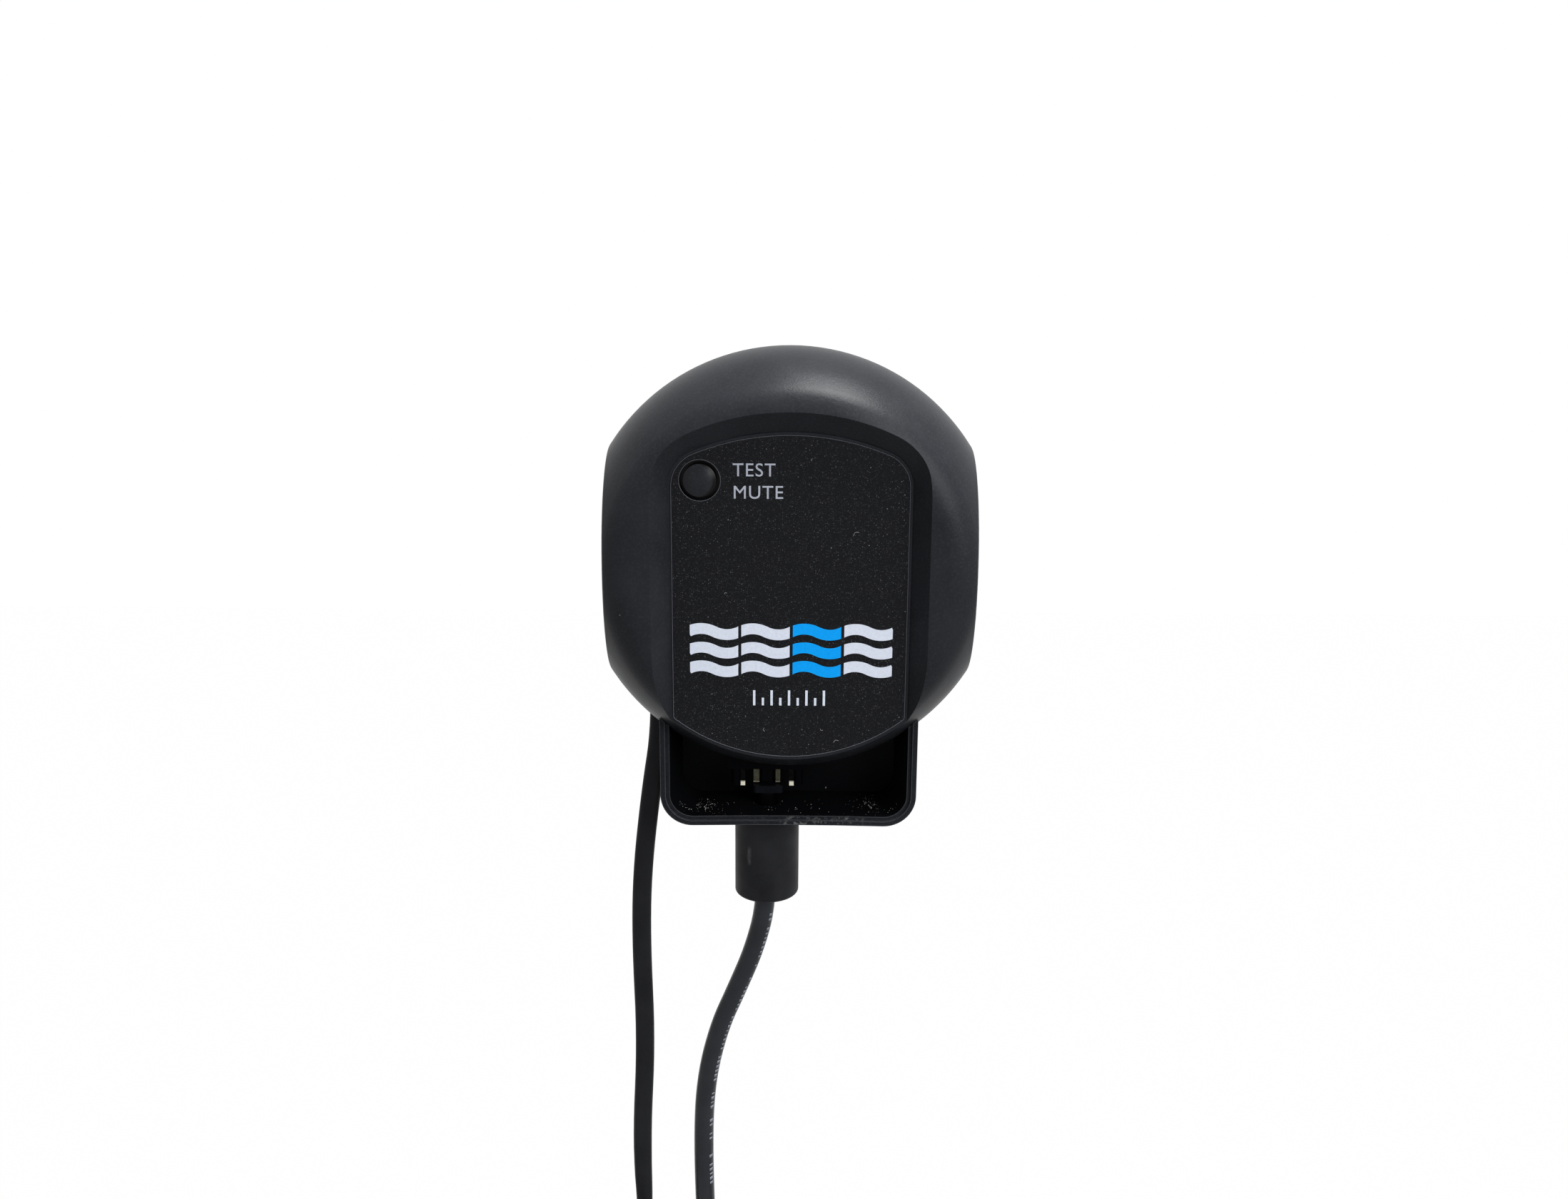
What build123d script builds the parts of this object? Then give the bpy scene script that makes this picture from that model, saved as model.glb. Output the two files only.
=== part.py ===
from build123d import *
import math
import os

# Wall-hung sump alarm head with a plug-in water probe and a power lead, in millimetres.
# The origin is on the wall plane behind the centre of the round head. +Y points into the wall,
# +Z up and +X to the right of someone who faces the alarm. "Depth" is the distance out from the wall.

# Head: a puck with two flat sides and a domed front
head_radius = 50.0
flat_cut = 7.8
flat_offset = head_radius - flat_cut
flank_rise = 1.262625
shoulder_radius = 9.5
shoulder_turn = 50.0
wall = 2.2
flat_edge_round = 1.2
seam_depth = 3.0

# Recess in the front, open at the bottom, with sloping walls
recess_drop = 4.6
panel_side_margin = 14.9
panel_top_margin = 17.6
panel_arch_excess = 8.0
panel_half_width = flat_offset - panel_side_margin
panel_apex = head_radius - panel_top_margin
panel_arch_radius = head_radius + panel_arch_excess
panel_corner_radius = 8.5
recess_side_slope = 3.8
recess_top_slope = 5.0
recess_half_width = panel_half_width + recess_side_slope
recess_apex = panel_apex + recess_top_slope
recess_arch_radius = panel_arch_radius + panel_arch_excess
recess_corner_radius = 11.0
recess_edge_round = 0.5

# Face label and what is printed on it
label_thickness = 0.25
label_margin = 0.7
label_corner_radius = 7.8
label_foot_margin = 7.1
label_bottom_radius = head_radius - label_foot_margin
label_foot_round = 1.2
print_thickness = 0.12
wave_left_margin = 4.3
wave_right_margin = 3.5
wave_left = -(panel_half_width - wave_left_margin)
wave_right = panel_half_width - wave_right_margin
wave_periods = 4
wave_pitch = (wave_right - wave_left) / wave_periods
wave_blue_period = 2
wave_gap = 0.7
wave_stroke = 2.5
wave_rise = 0.7
wave_top_row = -13.0
wave_row_pitch = 4.4
wave_row_count = 3
wave_rows = [wave_top_row - i * wave_row_pitch for i in range(wave_row_count)]
tick_count = 9
tick_pitch = 2.0
tick_width = 0.55
tick_height = 3.6
tick_centre_z = -28.7

# Push button, its switch and its travel
button_side_margin = 7.1
button_corner_drop = 3.973333
panel_corner_z = (
    panel_apex - panel_arch_radius + math.sqrt(panel_arch_radius**2 - panel_half_width**2)
)
button_x = -(panel_half_width - button_side_margin)
button_z = panel_corner_z - button_corner_drop
button_hole_radius = 4.65
button_radius = 3.7
button_proud = 1.25
button_dome_height = 0.9
button_flange_radius = 5.8
button_flange_thickness = 0.9
button_stop_gap = 0.2
button_travel = 0.8
stem_radius = 1.5
stem_gap = 0.05
switch_width = 6.2
switch_height = 1.8
plunger_radius = 1.7
plunger_proud = 1.0
plunger_clearance = 0.12
plunger_root = 0.1
plunger_spare = 0.1

# Circuit board and what is on it
board_panel_gap = 4.9
board_thickness = 1.6
board_round_margin = 8.0
board_side_margin = 11.3
board_top_margin = 12.0
board_bottom_margin = 6.0
board_radius = head_radius - board_round_margin
board_half_width = flat_offset - board_side_margin
board_top = head_radius - board_top_margin
board_bottom = board_bottom_margin - head_radius
board_screw_margin = 4.9
board_screw_gap = 3.9
board_screw_rise = 18.0
top_screw_offset = 14.0
top_screw_margin = 9.0
board_screw_radius = 1.2
board_screw_length = 6.0
board_screw_head_radius = 2.25
board_screw_head_height = 1.6
board_post_radius = 3.0
screw_clearance = 0.1
chip_width = 9.0
chip_height = 1.2
chip_place = (6.0, -2.0)
radio_size = (17.0, 12.0)
radio_height = 2.6
radio_side_margin = 12.9
radio_holder_gap = 2.4
capacitor_radius = 3.15
capacitor_height = 7.0
capacitor_side_margin = 10.4
capacitor_spacing = 8.5
capacitor_rises = (13.0, 14.0)
capacitor_x = capacitor_side_margin - board_half_width
capacitor_places = (
    (capacitor_x, board_bottom + capacitor_rises[0]),
    (capacitor_x + capacitor_spacing, board_bottom + capacitor_rises[1]),
)
header_size = (6.5, 6.0)
header_height = 5.5
header_rise = 25.0
sounder_radius = 6.0
sounder_height = 7.5
sounder_port_radius = 1.0
sounder_side_margin = 13.9
sounder_rise = 17.0
sounder_place = (board_half_width - sounder_side_margin, board_bottom + sounder_rise)
sound_slot_count = 5
sound_slot_pitch = 3.0
sound_slot_width = 1.4
sound_slot_length = 8.0
sound_slot_depth = 12.0

# Backup battery, its holder and its door
cell_radius = 5.25
cell_length = 43.7
cell_tip_radius = 1.9
cell_tip_length = 0.8
cell_gap = 0.5
cell_floor_gap = 0.1
cell_back_gap = 0.6
battery_z = 4.0
holder_wall = 1.1
holder_floor = 1.0
holder_back_depth = 3.2
holder_end_room = 4.4
contact_thickness = 0.4
contact_height = 8.0
contact_nose_radius = 1.6
door_margin = 0.4
door_gap = 0.25
door_latch_width = 8.0
door_latch_depth = 1.2
door_grip_count = 4
door_grip_pitch = 2.4
door_grip_width = 1.0
door_grip_length = 12.0
door_grip_cut = 0.6

# Rear housing: back plate, seal, keyholes and screws
back_thickness = 2.0
back_inset = 0.4
back_chamfer = 0.8
rim_width = 3.6
lip_height = 3.0
lip_clearance = 0.15
seal_inset = 0.7
seal_width = 1.1
seal_height = 0.8
keyhole_margin = 22.0
keyhole_offset = head_radius - keyhole_margin
keyhole_places = (keyhole_offset, -keyhole_offset)
keyhole_radius = 4.5
keyhole_slot_width = 4.6
keyhole_slot_rise = 7.0
keyhole_room = 4.2
keyhole_side_room = 0.8
keyhole_wall = 1.3
housing_screw_margin = 7.7
housing_screw_x = flat_offset - housing_screw_margin
housing_screw_z = 20.0
housing_screw_places = (
    (housing_screw_x, housing_screw_z),
    (housing_screw_x, -housing_screw_z),
    (-housing_screw_x, housing_screw_z),
    (-housing_screw_x, -housing_screw_z),
)
housing_screw_radius = 1.45
housing_screw_length = 12.0
housing_screw_head_radius = 2.8
housing_screw_head_height = 2.0
housing_screw_head_sink = 1.0
screw_slot_width = 0.8
screw_slot_cut = 0.9
pillar_radius = 4.1
pillar_depth = 5.4
boss_radius = 3.2
boss_gap = 0.1

# Open-fronted pocket under the head
pocket_side_margin = 12.0
pocket_drop = 12.0
pocket_half_width = flat_offset - pocket_side_margin
pocket_draft = 7.0
pocket_bottom = -(head_radius + pocket_drop)
pocket_wall = 2.0
pocket_depth = 19.1
pocket_corner_radius = 7.5
pocket_bow = 0.4
pocket_head_gap = 0.15
rim_step = 0.6
rim_step_width = 1.0
plug_hole_clearance = 0.2

# Probe socket in the underside of the head, and its contacts
socket_x = -5.1
socket_depth = 9.5
socket_half_width = 9.5
socket_back_depth = 3.2
socket_front_depth = 11.2
socket_proud = 0.6
socket_reach = 12.5
socket_shoulder_reach = 7.0
socket_bottom = -(head_radius + socket_proud)
socket_top = socket_reach - head_radius
socket_shoulder = socket_shoulder_reach - head_radius
socket_gap = 0.15
key_width = 2.5
key_thickness = 2.4
key_length = 3.3
key_end = socket_bottom - key_length
peg_offset = 7.5
peg_radius = 1.2
peg_length = 4.4
peg_end = socket_bottom - peg_length
blade_offset = 2.6
blade_widths = (1.4, 1.1)
blade_thickness = 0.7
contact_root_depth = 4.1
blade_length = 3.8
blade_root = socket_bottom + contact_root_depth
blade_end = socket_bottom - blade_length
pin_offset = 5.9
pin_width = 1.1
pin_length = 4.6
pin_end = socket_bottom - pin_length

# Probe plug: nose above the pocket floor, sleeve below it
nose_shift = 0.2
nose_width = 7.2
nose_thickness = 4.6
nose_top_rise = 7.3
nose_bottom_rise = 5.5
nose_top = pocket_bottom + nose_top_rise
nose_bottom = pocket_bottom + nose_bottom_rise
nose_round = 0.9
nose_slot_depth = 1.2
nose_slot_margin = 0.3
neck_radius = 2.6
neck_length = 4.0
sleeve_radius = 7.8
sleeve_gap = 0.1
sleeve_length = 21.0
sleeve_bottom = pocket_bottom - sleeve_length
sleeve_edge_round = 0.9
sleeve_top_round = 0.4
lead_bore_clearance = 0.1
lead_bore_length = 9.5
lead_mouth_flare = 0.6
lead_mouth_length = 4.0

# Probe lead: the points of its route as (x, z) from the foot of the sleeve, at the socket's depth
lead_diameter = 5.0
sensor_points = (
    (0.0, 9.5),
    (0.0, -3.0),
    (-2.9, -15.5),
    (-7.5, -27.1),
    (-11.9, -37.5),
    (-15.3, -52.0),
    (-16.3, -69.0),
    (-15.7, -97.0),
    (-14.9, -123.0),
)
sensor_route = [(socket_x + x, sleeve_bottom + z) for x, z in sensor_points]
sensor_coil_radius = 26.0
sensor_coil_offset = (16.1, -133.0)
sensor_coil_centre = (socket_x + sensor_coil_offset[0], sleeve_bottom + sensor_coil_offset[1])
sensor_coil_depth = 13.9
sensor_coil_side = -1
sensor_coil_columns = 3
sensor_coil_layers = 3

# Power lead: an oval lead, its route as (x, z) from the foot of its grommet, at one depth
power_lead_width = 4.8
power_lead_thickness = 2.8
power_lead_depth = 4.8
power_side_gap = 1.0
grommet_inside = 9.071217
grommet_outside = 2.928783
power_x = -(pocket_half_width + power_side_gap)
power_rim_z = -math.sqrt(head_radius**2 - power_x**2)
grommet_inner_end = power_rim_z + grommet_inside
grommet_outer_end = power_rim_z - grommet_outside
power_points = (
    (0.0, 11.5),
    (0.0, -0.5),
    (-2.5, -15.5),
    (-5.2, -38.0),
    (-5.8, -58.0),
    (-5.0, -86.0),
    (-6.7, -114.0),
    (-6.0, -140.0),
    (-6.8, -164.0),
)
power_route = [(power_x + x, grommet_outer_end + z) for x, z in power_points]
power_coil_radius = 25.0
power_coil_offset = (-34.6, -174.0)
power_coil_centre = (power_x + power_coil_offset[0], grommet_outer_end + power_coil_offset[1])
power_coil_depth = 8.5
power_coil_side = 1
power_coil_columns = 3
power_coil_layers = 3
corner_share = 0.45

# Grommet of the power lead and the wires inside
grommet_wall = 0.65
grommet_gap = 0.1
grommet_lead_gap = 0.05
grommet_lip = 0.6
wire_diameter = 1.2
wire_spread = 1.9
wire_bend = 1.5

# Ties round the coils
tie_width = 3.0
tie_thickness = 1.0
sensor_tie_angles = (50.0, 290.0)
power_tie_angles = (130.0, 250.0)
coil_corner_share = 0.28

# Tails of the coils, the probe and the power plug that hang from them
tail_start = 10.0
tail_drop = 28.0
probe_collar_radius = 4.0
probe_collar_length = 9.0
probe_radius = 7.0
probe_length = 40.0
probe_round = 1.5
probe_vent_radius = 1.0
probe_vent_count = 6
probe_vent_rise = 30.0
probe_vent_cut = 1.2
probe_pin_radius = 1.1
probe_pin_spacing = 6.0
probe_pin_length = 8.0
probe_pin_root = 4.0
plug_relief_length = 11.0
plug_relief_end_width = 5.8
plug_relief_end_thickness = 3.8
plug_relief_root_width = 9.6
plug_relief_root_thickness = 6.4
plug_grip_width = 16.0
plug_grip_thickness = 8.0
plug_grip_length = 25.0
plug_grip_round = 2.0
plug_shell_width = 12.0
plug_shell_thickness = 4.5
plug_shell_length = 12.0
plug_shell_wall = 0.35
plug_shell_root = 3.0
plug_tongue_thickness = 1.8
plug_tongue_inset = 0.6
plug_window_width = 2.2
plug_window_length = 2.4

# The stack from the wall outwards: cells, board, room for the switch and front panel
battery_depth = back_thickness + cell_back_gap + cell_radius
board_back_depth = battery_depth + cell_radius + cell_floor_gap + holder_floor
board_front_depth = board_back_depth + board_thickness
panel_back_depth = board_front_depth + board_panel_gap
panel_depth = panel_back_depth + wall
head_depth = panel_depth + recess_drop

# Other values worked out from the sizes above
label_front_depth = panel_depth + label_thickness
shoulder_depth = head_depth - shoulder_radius
turn = math.radians(shoulder_turn)
shoulder_end_depth = shoulder_depth + shoulder_radius * math.cos(turn)
equator_depth = seam_depth + flank_rise
flank_radius = (shoulder_end_depth - equator_depth) / math.cos(turn)
flank_centre_radius = head_radius - flank_radius
shoulder_end_radius = flank_centre_radius + flank_radius * math.sin(turn)
crest_radius = shoulder_end_radius - shoulder_radius * math.sin(turn)
holder_half_height = 2 * cell_radius + cell_gap + holder_wall
holder_half_length = cell_length / 2 + holder_end_room + holder_wall
board_screw_x = board_half_width - board_screw_margin
radio_place = (
    radio_side_margin - board_half_width,
    battery_z + holder_half_height + radio_holder_gap + radio_size[1] / 2,
)
board_screw_places = (
    (board_screw_x, battery_z + holder_half_height + board_screw_gap),
    (board_screw_x, board_bottom + board_screw_rise),
    (-board_screw_x, board_bottom + board_screw_rise),
    (radio_place[0] + top_screw_offset, board_top - top_screw_margin),
)
header_place = (-board_screw_x, board_bottom + header_rise)
plunger_top_depth = board_front_depth + switch_height + plunger_proud
beyond = 30.0


def at(x, depth, z):
    """A point given by its distance out from the wall."""
    return Vector(x, -depth, z)


def outward(x, z, depth):
    """A plane parallel to the wall that faces out of it, with its x along +X and its y along +Z."""
    return Plane(origin=at(x, depth, z), x_dir=(1, 0, 0), z_dir=(0, -1, 0))


def disc(x, z, radius, from_depth, to_depth):
    """A round bar that stands out from the wall."""
    face = outward(x, z, from_depth) * Circle(radius)
    return extrude(face, to_depth - from_depth)


def block(x, z, width, height, from_depth, to_depth):
    """A rectangular block that stands out from the wall."""
    face = outward(x, z, from_depth) * Rectangle(width, height)
    return extrude(face, to_depth - from_depth)


def level(x, depth, z):
    """A level plane with its x along +X."""
    return Plane(origin=at(x, depth, z), x_dir=(1, 0, 0), z_dir=(0, 0, 1))


def upright(x, depth, radius, bottom, top):
    """A round bar that stands along Z."""
    return extrude(level(x, depth, bottom) * Circle(radius), top - bottom)


def upright_block(x, depth, width, thickness, bottom, top):
    """A rectangular block given by its bottom and top."""
    return extrude(level(x, depth, bottom) * Rectangle(width, thickness), top - bottom)


def one(shape):
    """The solid that makes up a shape, without any sliver beside it."""
    return shape.solids().sort_by(SortBy.VOLUME)[-1]


# Head form, shared by the housings


def head_section(inset, from_depth):
    """Half section of the head: x is the radius and y is minus the depth."""
    ring = head_radius - inset
    crest = head_depth - inset
    flank = flank_radius - inset
    shoulder = shoulder_radius - inset
    low = math.radians((90 + shoulder_turn) / 2)
    high = turn / 2
    knee = (crest_radius + shoulder * math.sin(turn), -shoulder_depth - shoulder * math.cos(turn))
    flank_middle = (
        flank_centre_radius + flank * math.sin(low),
        -equator_depth - flank * math.cos(low),
    )
    shoulder_middle = (
        crest_radius + shoulder * math.sin(high),
        -shoulder_depth - shoulder * math.cos(high),
    )
    edges = [
        Line((0, -from_depth), (ring, -from_depth)),
        Line((ring, -from_depth), (ring, -equator_depth)),
        ThreePointArc((ring, -equator_depth), flank_middle, knee),
        ThreePointArc(knee, shoulder_middle, (crest_radius, -crest)),
        Line((crest_radius, -crest), (0, -crest)),
        Line((0, -crest), (0, -from_depth)),
    ]
    return make_face(Curve() + edges)


def side_slab(inset):
    """The space between the two flat sides."""
    width = 2 * (flat_offset - inset)
    return Box(width, 4 * head_depth, 4 * head_radius)


def head_form(inset, from_depth):
    """The head's solid form, moved inwards all over by the inset."""
    return revolve(head_section(inset, from_depth), Axis.Y) & side_slab(inset)


def puck(inset, from_depth, to_depth):
    """A slice of the head's outline, without its dome."""
    face = outward(0, 0, from_depth) * Circle(head_radius - inset)
    return extrude(face, to_depth - from_depth) & side_slab(inset)


def ring(outer_inset, inner_inset, from_depth, to_depth):
    """A band that follows the head's outline."""
    inner = puck(inner_inset, from_depth - 1, to_depth + 1)
    return puck(outer_inset, from_depth, to_depth) - inner


# Front recess


def arched_face(half_width, apex, arch_radius, corner_radius, bottom, depth):
    """A face with straight sides, a gently arched top and rounded upper corners."""
    drop = arch_radius - math.sqrt(arch_radius**2 - half_width**2)
    edges = [
        Line((-half_width, bottom), (half_width, bottom)),
        Line((half_width, bottom), (half_width, apex - drop)),
        ThreePointArc((half_width, apex - drop), (0, apex), (-half_width, apex - drop)),
        Line((-half_width, apex - drop), (-half_width, bottom)),
    ]
    face = make_face(Curve() + edges)
    tops = face.vertices().sort_by(Axis.Y)[-2:]
    return outward(0, 0, depth) * fillet(tops, corner_radius)


def recess_form(growth):
    """The recess as a solid, made larger all round by the growth."""
    floor = panel_depth - growth
    rise = head_depth - panel_depth
    over = 1 + 1.5 / rise
    bottom = -1.2 * head_radius
    low = arched_face(
        panel_half_width + growth,
        panel_apex + growth,
        panel_arch_radius + growth,
        panel_corner_radius + growth,
        bottom,
        floor,
    )
    high = arched_face(
        panel_half_width + growth + over * (recess_half_width - panel_half_width),
        panel_apex + growth + over * (recess_apex - panel_apex),
        panel_arch_radius + growth + over * (recess_arch_radius - panel_arch_radius),
        panel_corner_radius + growth + over * (recess_corner_radius - panel_corner_radius),
        bottom,
        floor + over * rise,
    )
    return loft([low, high], ruled=True)


# Front housing


def rounded_head():
    """The outer form of the front housing, with its flat sides' edges rounded."""
    form = head_form(0, seam_depth)
    sides = [
        edge
        for edge in form.edges()
        if abs(abs(edge.center().X) - flat_offset) < 0.01 and -edge.center().Y > seam_depth + 0.01
    ]
    return fillet(sides, flat_edge_round)


def grommet_room(gap):
    """The space that the grommet takes in the wall."""
    return block(
        power_route[0][0],
        (grommet_inner_end + grommet_outer_end) / 2,
        power_lead_width + 2 * (grommet_wall + gap),
        grommet_inner_end - grommet_outer_end + 2 * gap,
        seam_depth,
        power_lead_depth + power_lead_thickness / 2 + grommet_wall + gap,
    )


def socket_room(gap):
    """The space that the socket takes in the wall under the head."""
    bottom = socket_bottom - 1
    top = socket_shoulder + gap
    return block(
        socket_x,
        (bottom + top) / 2,
        2 * (socket_half_width + gap),
        top - bottom,
        seam_depth - 1,
        socket_front_depth + gap,
    )


def sound_slots():
    """Narrow slots through the right flat side."""
    first = -(sound_slot_count - 1) / 2 * sound_slot_pitch
    side = Plane(origin=(flat_offset + 1, -sound_slot_depth, 0), x_dir=(0, -1, 0), z_dir=(-1, 0, 0))
    slots = Part()
    for i in range(sound_slot_count):
        slot = Pos(0, first + i * sound_slot_pitch) * SlotOverall(sound_slot_length, sound_slot_width)
        slots += extrude(side * slot, wall + 2)
    return slots


def front_housing():
    shell = rounded_head()
    cavity = head_form(wall, seam_depth - 1) - recess_form(wall)
    inside = head_form(wall / 2, seam_depth - 1)
    shell -= cavity
    for x, z in housing_screw_places:
        boss = disc(x, z, boss_radius, pillar_depth + boss_gap, head_depth)
        shell += boss & inside
    for x, z in board_screw_places:
        shell += disc(x, z, board_post_radius, board_front_depth, panel_back_depth + wall / 2)
    shell -= recess_form(0)
    for x, z in housing_screw_places:
        top = housing_screw_head_sink + housing_screw_head_height + housing_screw_length
        shell -= disc(x, z, housing_screw_radius + screw_clearance, 0, top + 1)
    for x, z in board_screw_places:
        top = board_back_depth + board_screw_length
        shell -= disc(x, z, board_screw_radius + screw_clearance, 0, top + 0.3)
    shell -= disc(button_x, button_z, button_hole_radius, panel_back_depth - 1, head_depth)
    shell -= sound_slots()
    shell -= grommet_room(grommet_gap)
    shell -= socket_room(socket_gap)
    return one(shell)


# Rear housing with the pocket


def pocket_outline(inset, depth):
    """The pocket's outline as a face that runs up behind the head, narrower towards the wall."""
    draft = (pocket_depth - depth) * math.tan(math.radians(pocket_draft))
    half = pocket_half_width - draft - inset
    bottom = pocket_bottom + inset
    edges = [
        ThreePointArc((-half, bottom), (0, bottom + pocket_bow), (half, bottom)),
        Line((half, bottom), (half, -beyond)),
        Line((half, -beyond), (-half, -beyond)),
        Line((-half, -beyond), (-half, bottom)),
    ]
    face = make_face(Curve() + edges)
    lower = face.vertices().sort_by(Axis.Y)[:2]
    return outward(0, 0, depth) * fillet(lower, pocket_corner_radius - inset)


def pocket():
    """Thin-walled open tray: a back, two sides and a floor with a stepped rim."""
    over = pocket_depth + 2
    tray = loft([pocket_outline(0, 0), pocket_outline(0, pocket_depth)], ruled=True)
    tray -= loft([pocket_outline(pocket_wall, back_thickness), pocket_outline(pocket_wall, over)], ruled=True)
    tray -= extrude(pocket_outline(rim_step_width, pocket_depth - rim_step), beyond)
    tray -= head_form(-pocket_head_gap, seam_depth)
    tray -= puck(2 * wall, back_thickness, beyond)
    hole = neck_radius + plug_hole_clearance
    return tray - upright(socket_x, socket_depth, hole, pocket_bottom - 1, pocket_bottom + 5)


def keyhole(z, growth, from_depth, to_depth):
    """A round entry with a narrower slot above it."""
    width = keyhole_slot_width + 2 * growth
    entry = disc(0, z, keyhole_radius + growth, from_depth, to_depth)
    slot = block(0, z + keyhole_slot_rise / 2, width, keyhole_slot_rise, from_depth, to_depth)
    return entry + slot + disc(0, z + keyhole_slot_rise, width / 2, from_depth, to_depth)


def keyhole_well(z, growth, from_depth, to_depth):
    """The closed room behind a keyhole, in which a screw's head slides up."""
    radius = keyhole_radius + growth
    low = disc(0, z, radius, from_depth, to_depth)
    middle = block(0, z + keyhole_slot_rise / 2, 2 * radius, keyhole_slot_rise, from_depth, to_depth)
    return low + middle + disc(0, z + keyhole_slot_rise, radius, from_depth, to_depth)


def door_face(growth, depth):
    """The battery door's outline."""
    width = 2 * (holder_half_length - holder_wall + growth)
    height = 2 * (holder_half_height - holder_wall + growth)
    return outward(0, battery_z, depth) * RectangleRounded(width, height, 2.0)


def rear_housing():
    plate = puck(back_inset, 0, seam_depth)
    back_edges = plate.faces().sort_by(Axis.Y)[-1].edges()
    plate = chamfer(back_edges, back_chamfer)
    plate -= puck(rim_width, back_thickness, seam_depth + 1)
    lip_outer = wall + lip_clearance
    plate += ring(lip_outer, rim_width, back_thickness, seam_depth + lip_height)
    plate += pocket()
    plate -= ring(seal_inset, seal_inset + seal_width, seam_depth - seal_height, seam_depth)
    well_top = back_thickness + keyhole_room
    for z in keyhole_places:
        outside = keyhole_side_room + keyhole_wall
        plate += keyhole_well(z, outside, 0.5, well_top + keyhole_wall)
        plate -= keyhole_well(z, keyhole_side_room, back_thickness, well_top)
        plate -= keyhole(z, 0, -1, back_thickness)
    for x, z in housing_screw_places:
        head_end = housing_screw_head_sink + housing_screw_head_height
        plate += disc(x, z, pillar_radius, 0.5, pillar_depth)
        plate -= disc(x, z, housing_screw_head_radius + screw_clearance, -1, head_end)
        plate -= disc(x, z, housing_screw_radius + screw_clearance, -1, pillar_depth + 1)
    plate -= extrude(door_face(door_gap, -1), back_thickness + 1)
    for side in (-1, 1):
        x = side * (holder_half_length - holder_wall + door_margin)
        latch = block(x, battery_z, 2.4, door_latch_width + 2 * door_gap, door_latch_depth - door_gap, 3)
        plate -= latch
    plate -= grommet_room(grommet_gap)
    plate -= socket_room(socket_gap)
    return one(plate)


def housing_gasket():
    return one(ring(seal_inset, seal_inset + seal_width, seam_depth - seal_height, seam_depth))


# Label and print


def face_label():
    face = arched_face(
        panel_half_width - label_margin,
        panel_apex - label_margin,
        panel_arch_radius - label_margin,
        label_corner_radius,
        -1.2 * head_radius,
        panel_depth,
    )
    sheet = extrude(face, label_thickness)
    sheet &= disc(0, 0, label_bottom_radius, panel_depth, label_front_depth)
    corners = [
        edge
        for edge in sheet.edges().filter_by(Axis.Y)
        if edge.center().Z < 0
    ]
    sheet = fillet(corners, label_foot_round)
    return one(sheet - disc(button_x, button_z, button_hole_radius, panel_depth - 1, head_depth))


def wave_stroke_face(row):
    """One long wavy stroke made of arcs that bend up and down by turns."""
    half = wave_pitch / 2
    radius = (half**2 / 4 + wave_rise**2) / (2 * wave_rise)
    lean = math.asin(half / 2 / radius)
    count = 2 * wave_periods
    upper = []
    lower = []
    for side, chain in ((1, upper), (-1, lower)):
        for i in range(count):
            up = 1 if i % 2 == 0 else -1
            ends = []
            for k in (i, i + 1):
                tilt = lean if k % 2 == 0 else -lean
                x = wave_left + k * half - side * wave_stroke / 2 * math.sin(tilt)
                ends.append((x, row + side * wave_stroke / 2 * math.cos(tilt)))
            crown = (wave_left + (i + 0.5) * half, row + up * wave_rise + side * wave_stroke / 2)
            chain.append(ThreePointArc(ends[0], crown, ends[1]))
    caps = [Line(upper[0] @ 0, lower[0] @ 0), Line(upper[-1] @ 1, lower[-1] @ 1)]
    return make_face(Curve() + upper + lower + caps)


def wave_pieces(periods):
    """The printed waves, cut to the given periods, with a small gap between periods."""
    strokes = Part()
    for row in wave_rows:
        strokes += extrude(outward(0, 0, label_front_depth) * wave_stroke_face(row), print_thickness)
    middle = sum(wave_rows) / len(wave_rows)
    kept = Part()
    for i in periods:
        window = block(
            wave_left + (i + 0.5) * wave_pitch,
            middle,
            wave_pitch - wave_gap,
            beyond,
            panel_depth,
            head_depth,
        )
        kept += strokes & window
    return kept


def printed_waves():
    return wave_pieces([i for i in range(wave_periods) if i != wave_blue_period])


def printed_wave_blue():
    return wave_pieces([wave_blue_period])


def printed_ticks():
    ticks = Part()
    for i in range(tick_count):
        x = (i - (tick_count - 1) / 2) * tick_pitch
        tall = tick_height if i % 2 == 0 else tick_height / 2
        z = tick_centre_z - (tick_height - tall) / 2
        ticks += block(x, z, tick_width, tall, label_front_depth, label_front_depth + print_thickness)
    return ticks


# Button and switch


def test_button():
    flange_front = panel_back_depth - button_stop_gap
    flange_back = flange_front - button_flange_thickness
    shoulder = panel_depth + button_proud - button_dome_height
    cap = disc(button_x, button_z, button_flange_radius, flange_back, flange_front)
    cap += disc(button_x, button_z, button_radius, flange_front, shoulder)
    cap += disc(button_x, button_z, stem_radius, plunger_top_depth + stem_gap, flange_back)
    dome_radius = (button_radius**2 + button_dome_height**2) / (2 * button_dome_height)
    ball = Pos(at(button_x, shoulder + button_dome_height - dome_radius, button_z)) * Sphere(dome_radius)
    cap += ball & disc(button_x, button_z, button_radius, shoulder, head_depth)
    return one(cap)


def switch_plunger():
    bottom = board_front_depth + plunger_root + button_travel + plunger_spare
    return one(disc(button_x, button_z, plunger_radius, bottom, plunger_top_depth))


def tact_switch():
    top = board_front_depth + switch_height
    body = block(button_x, button_z, switch_width, switch_width, board_front_depth, top)
    bore = plunger_radius + plunger_clearance
    return one(body - disc(button_x, button_z, bore, board_front_depth + plunger_root, head_depth))


# Board and its components


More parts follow.
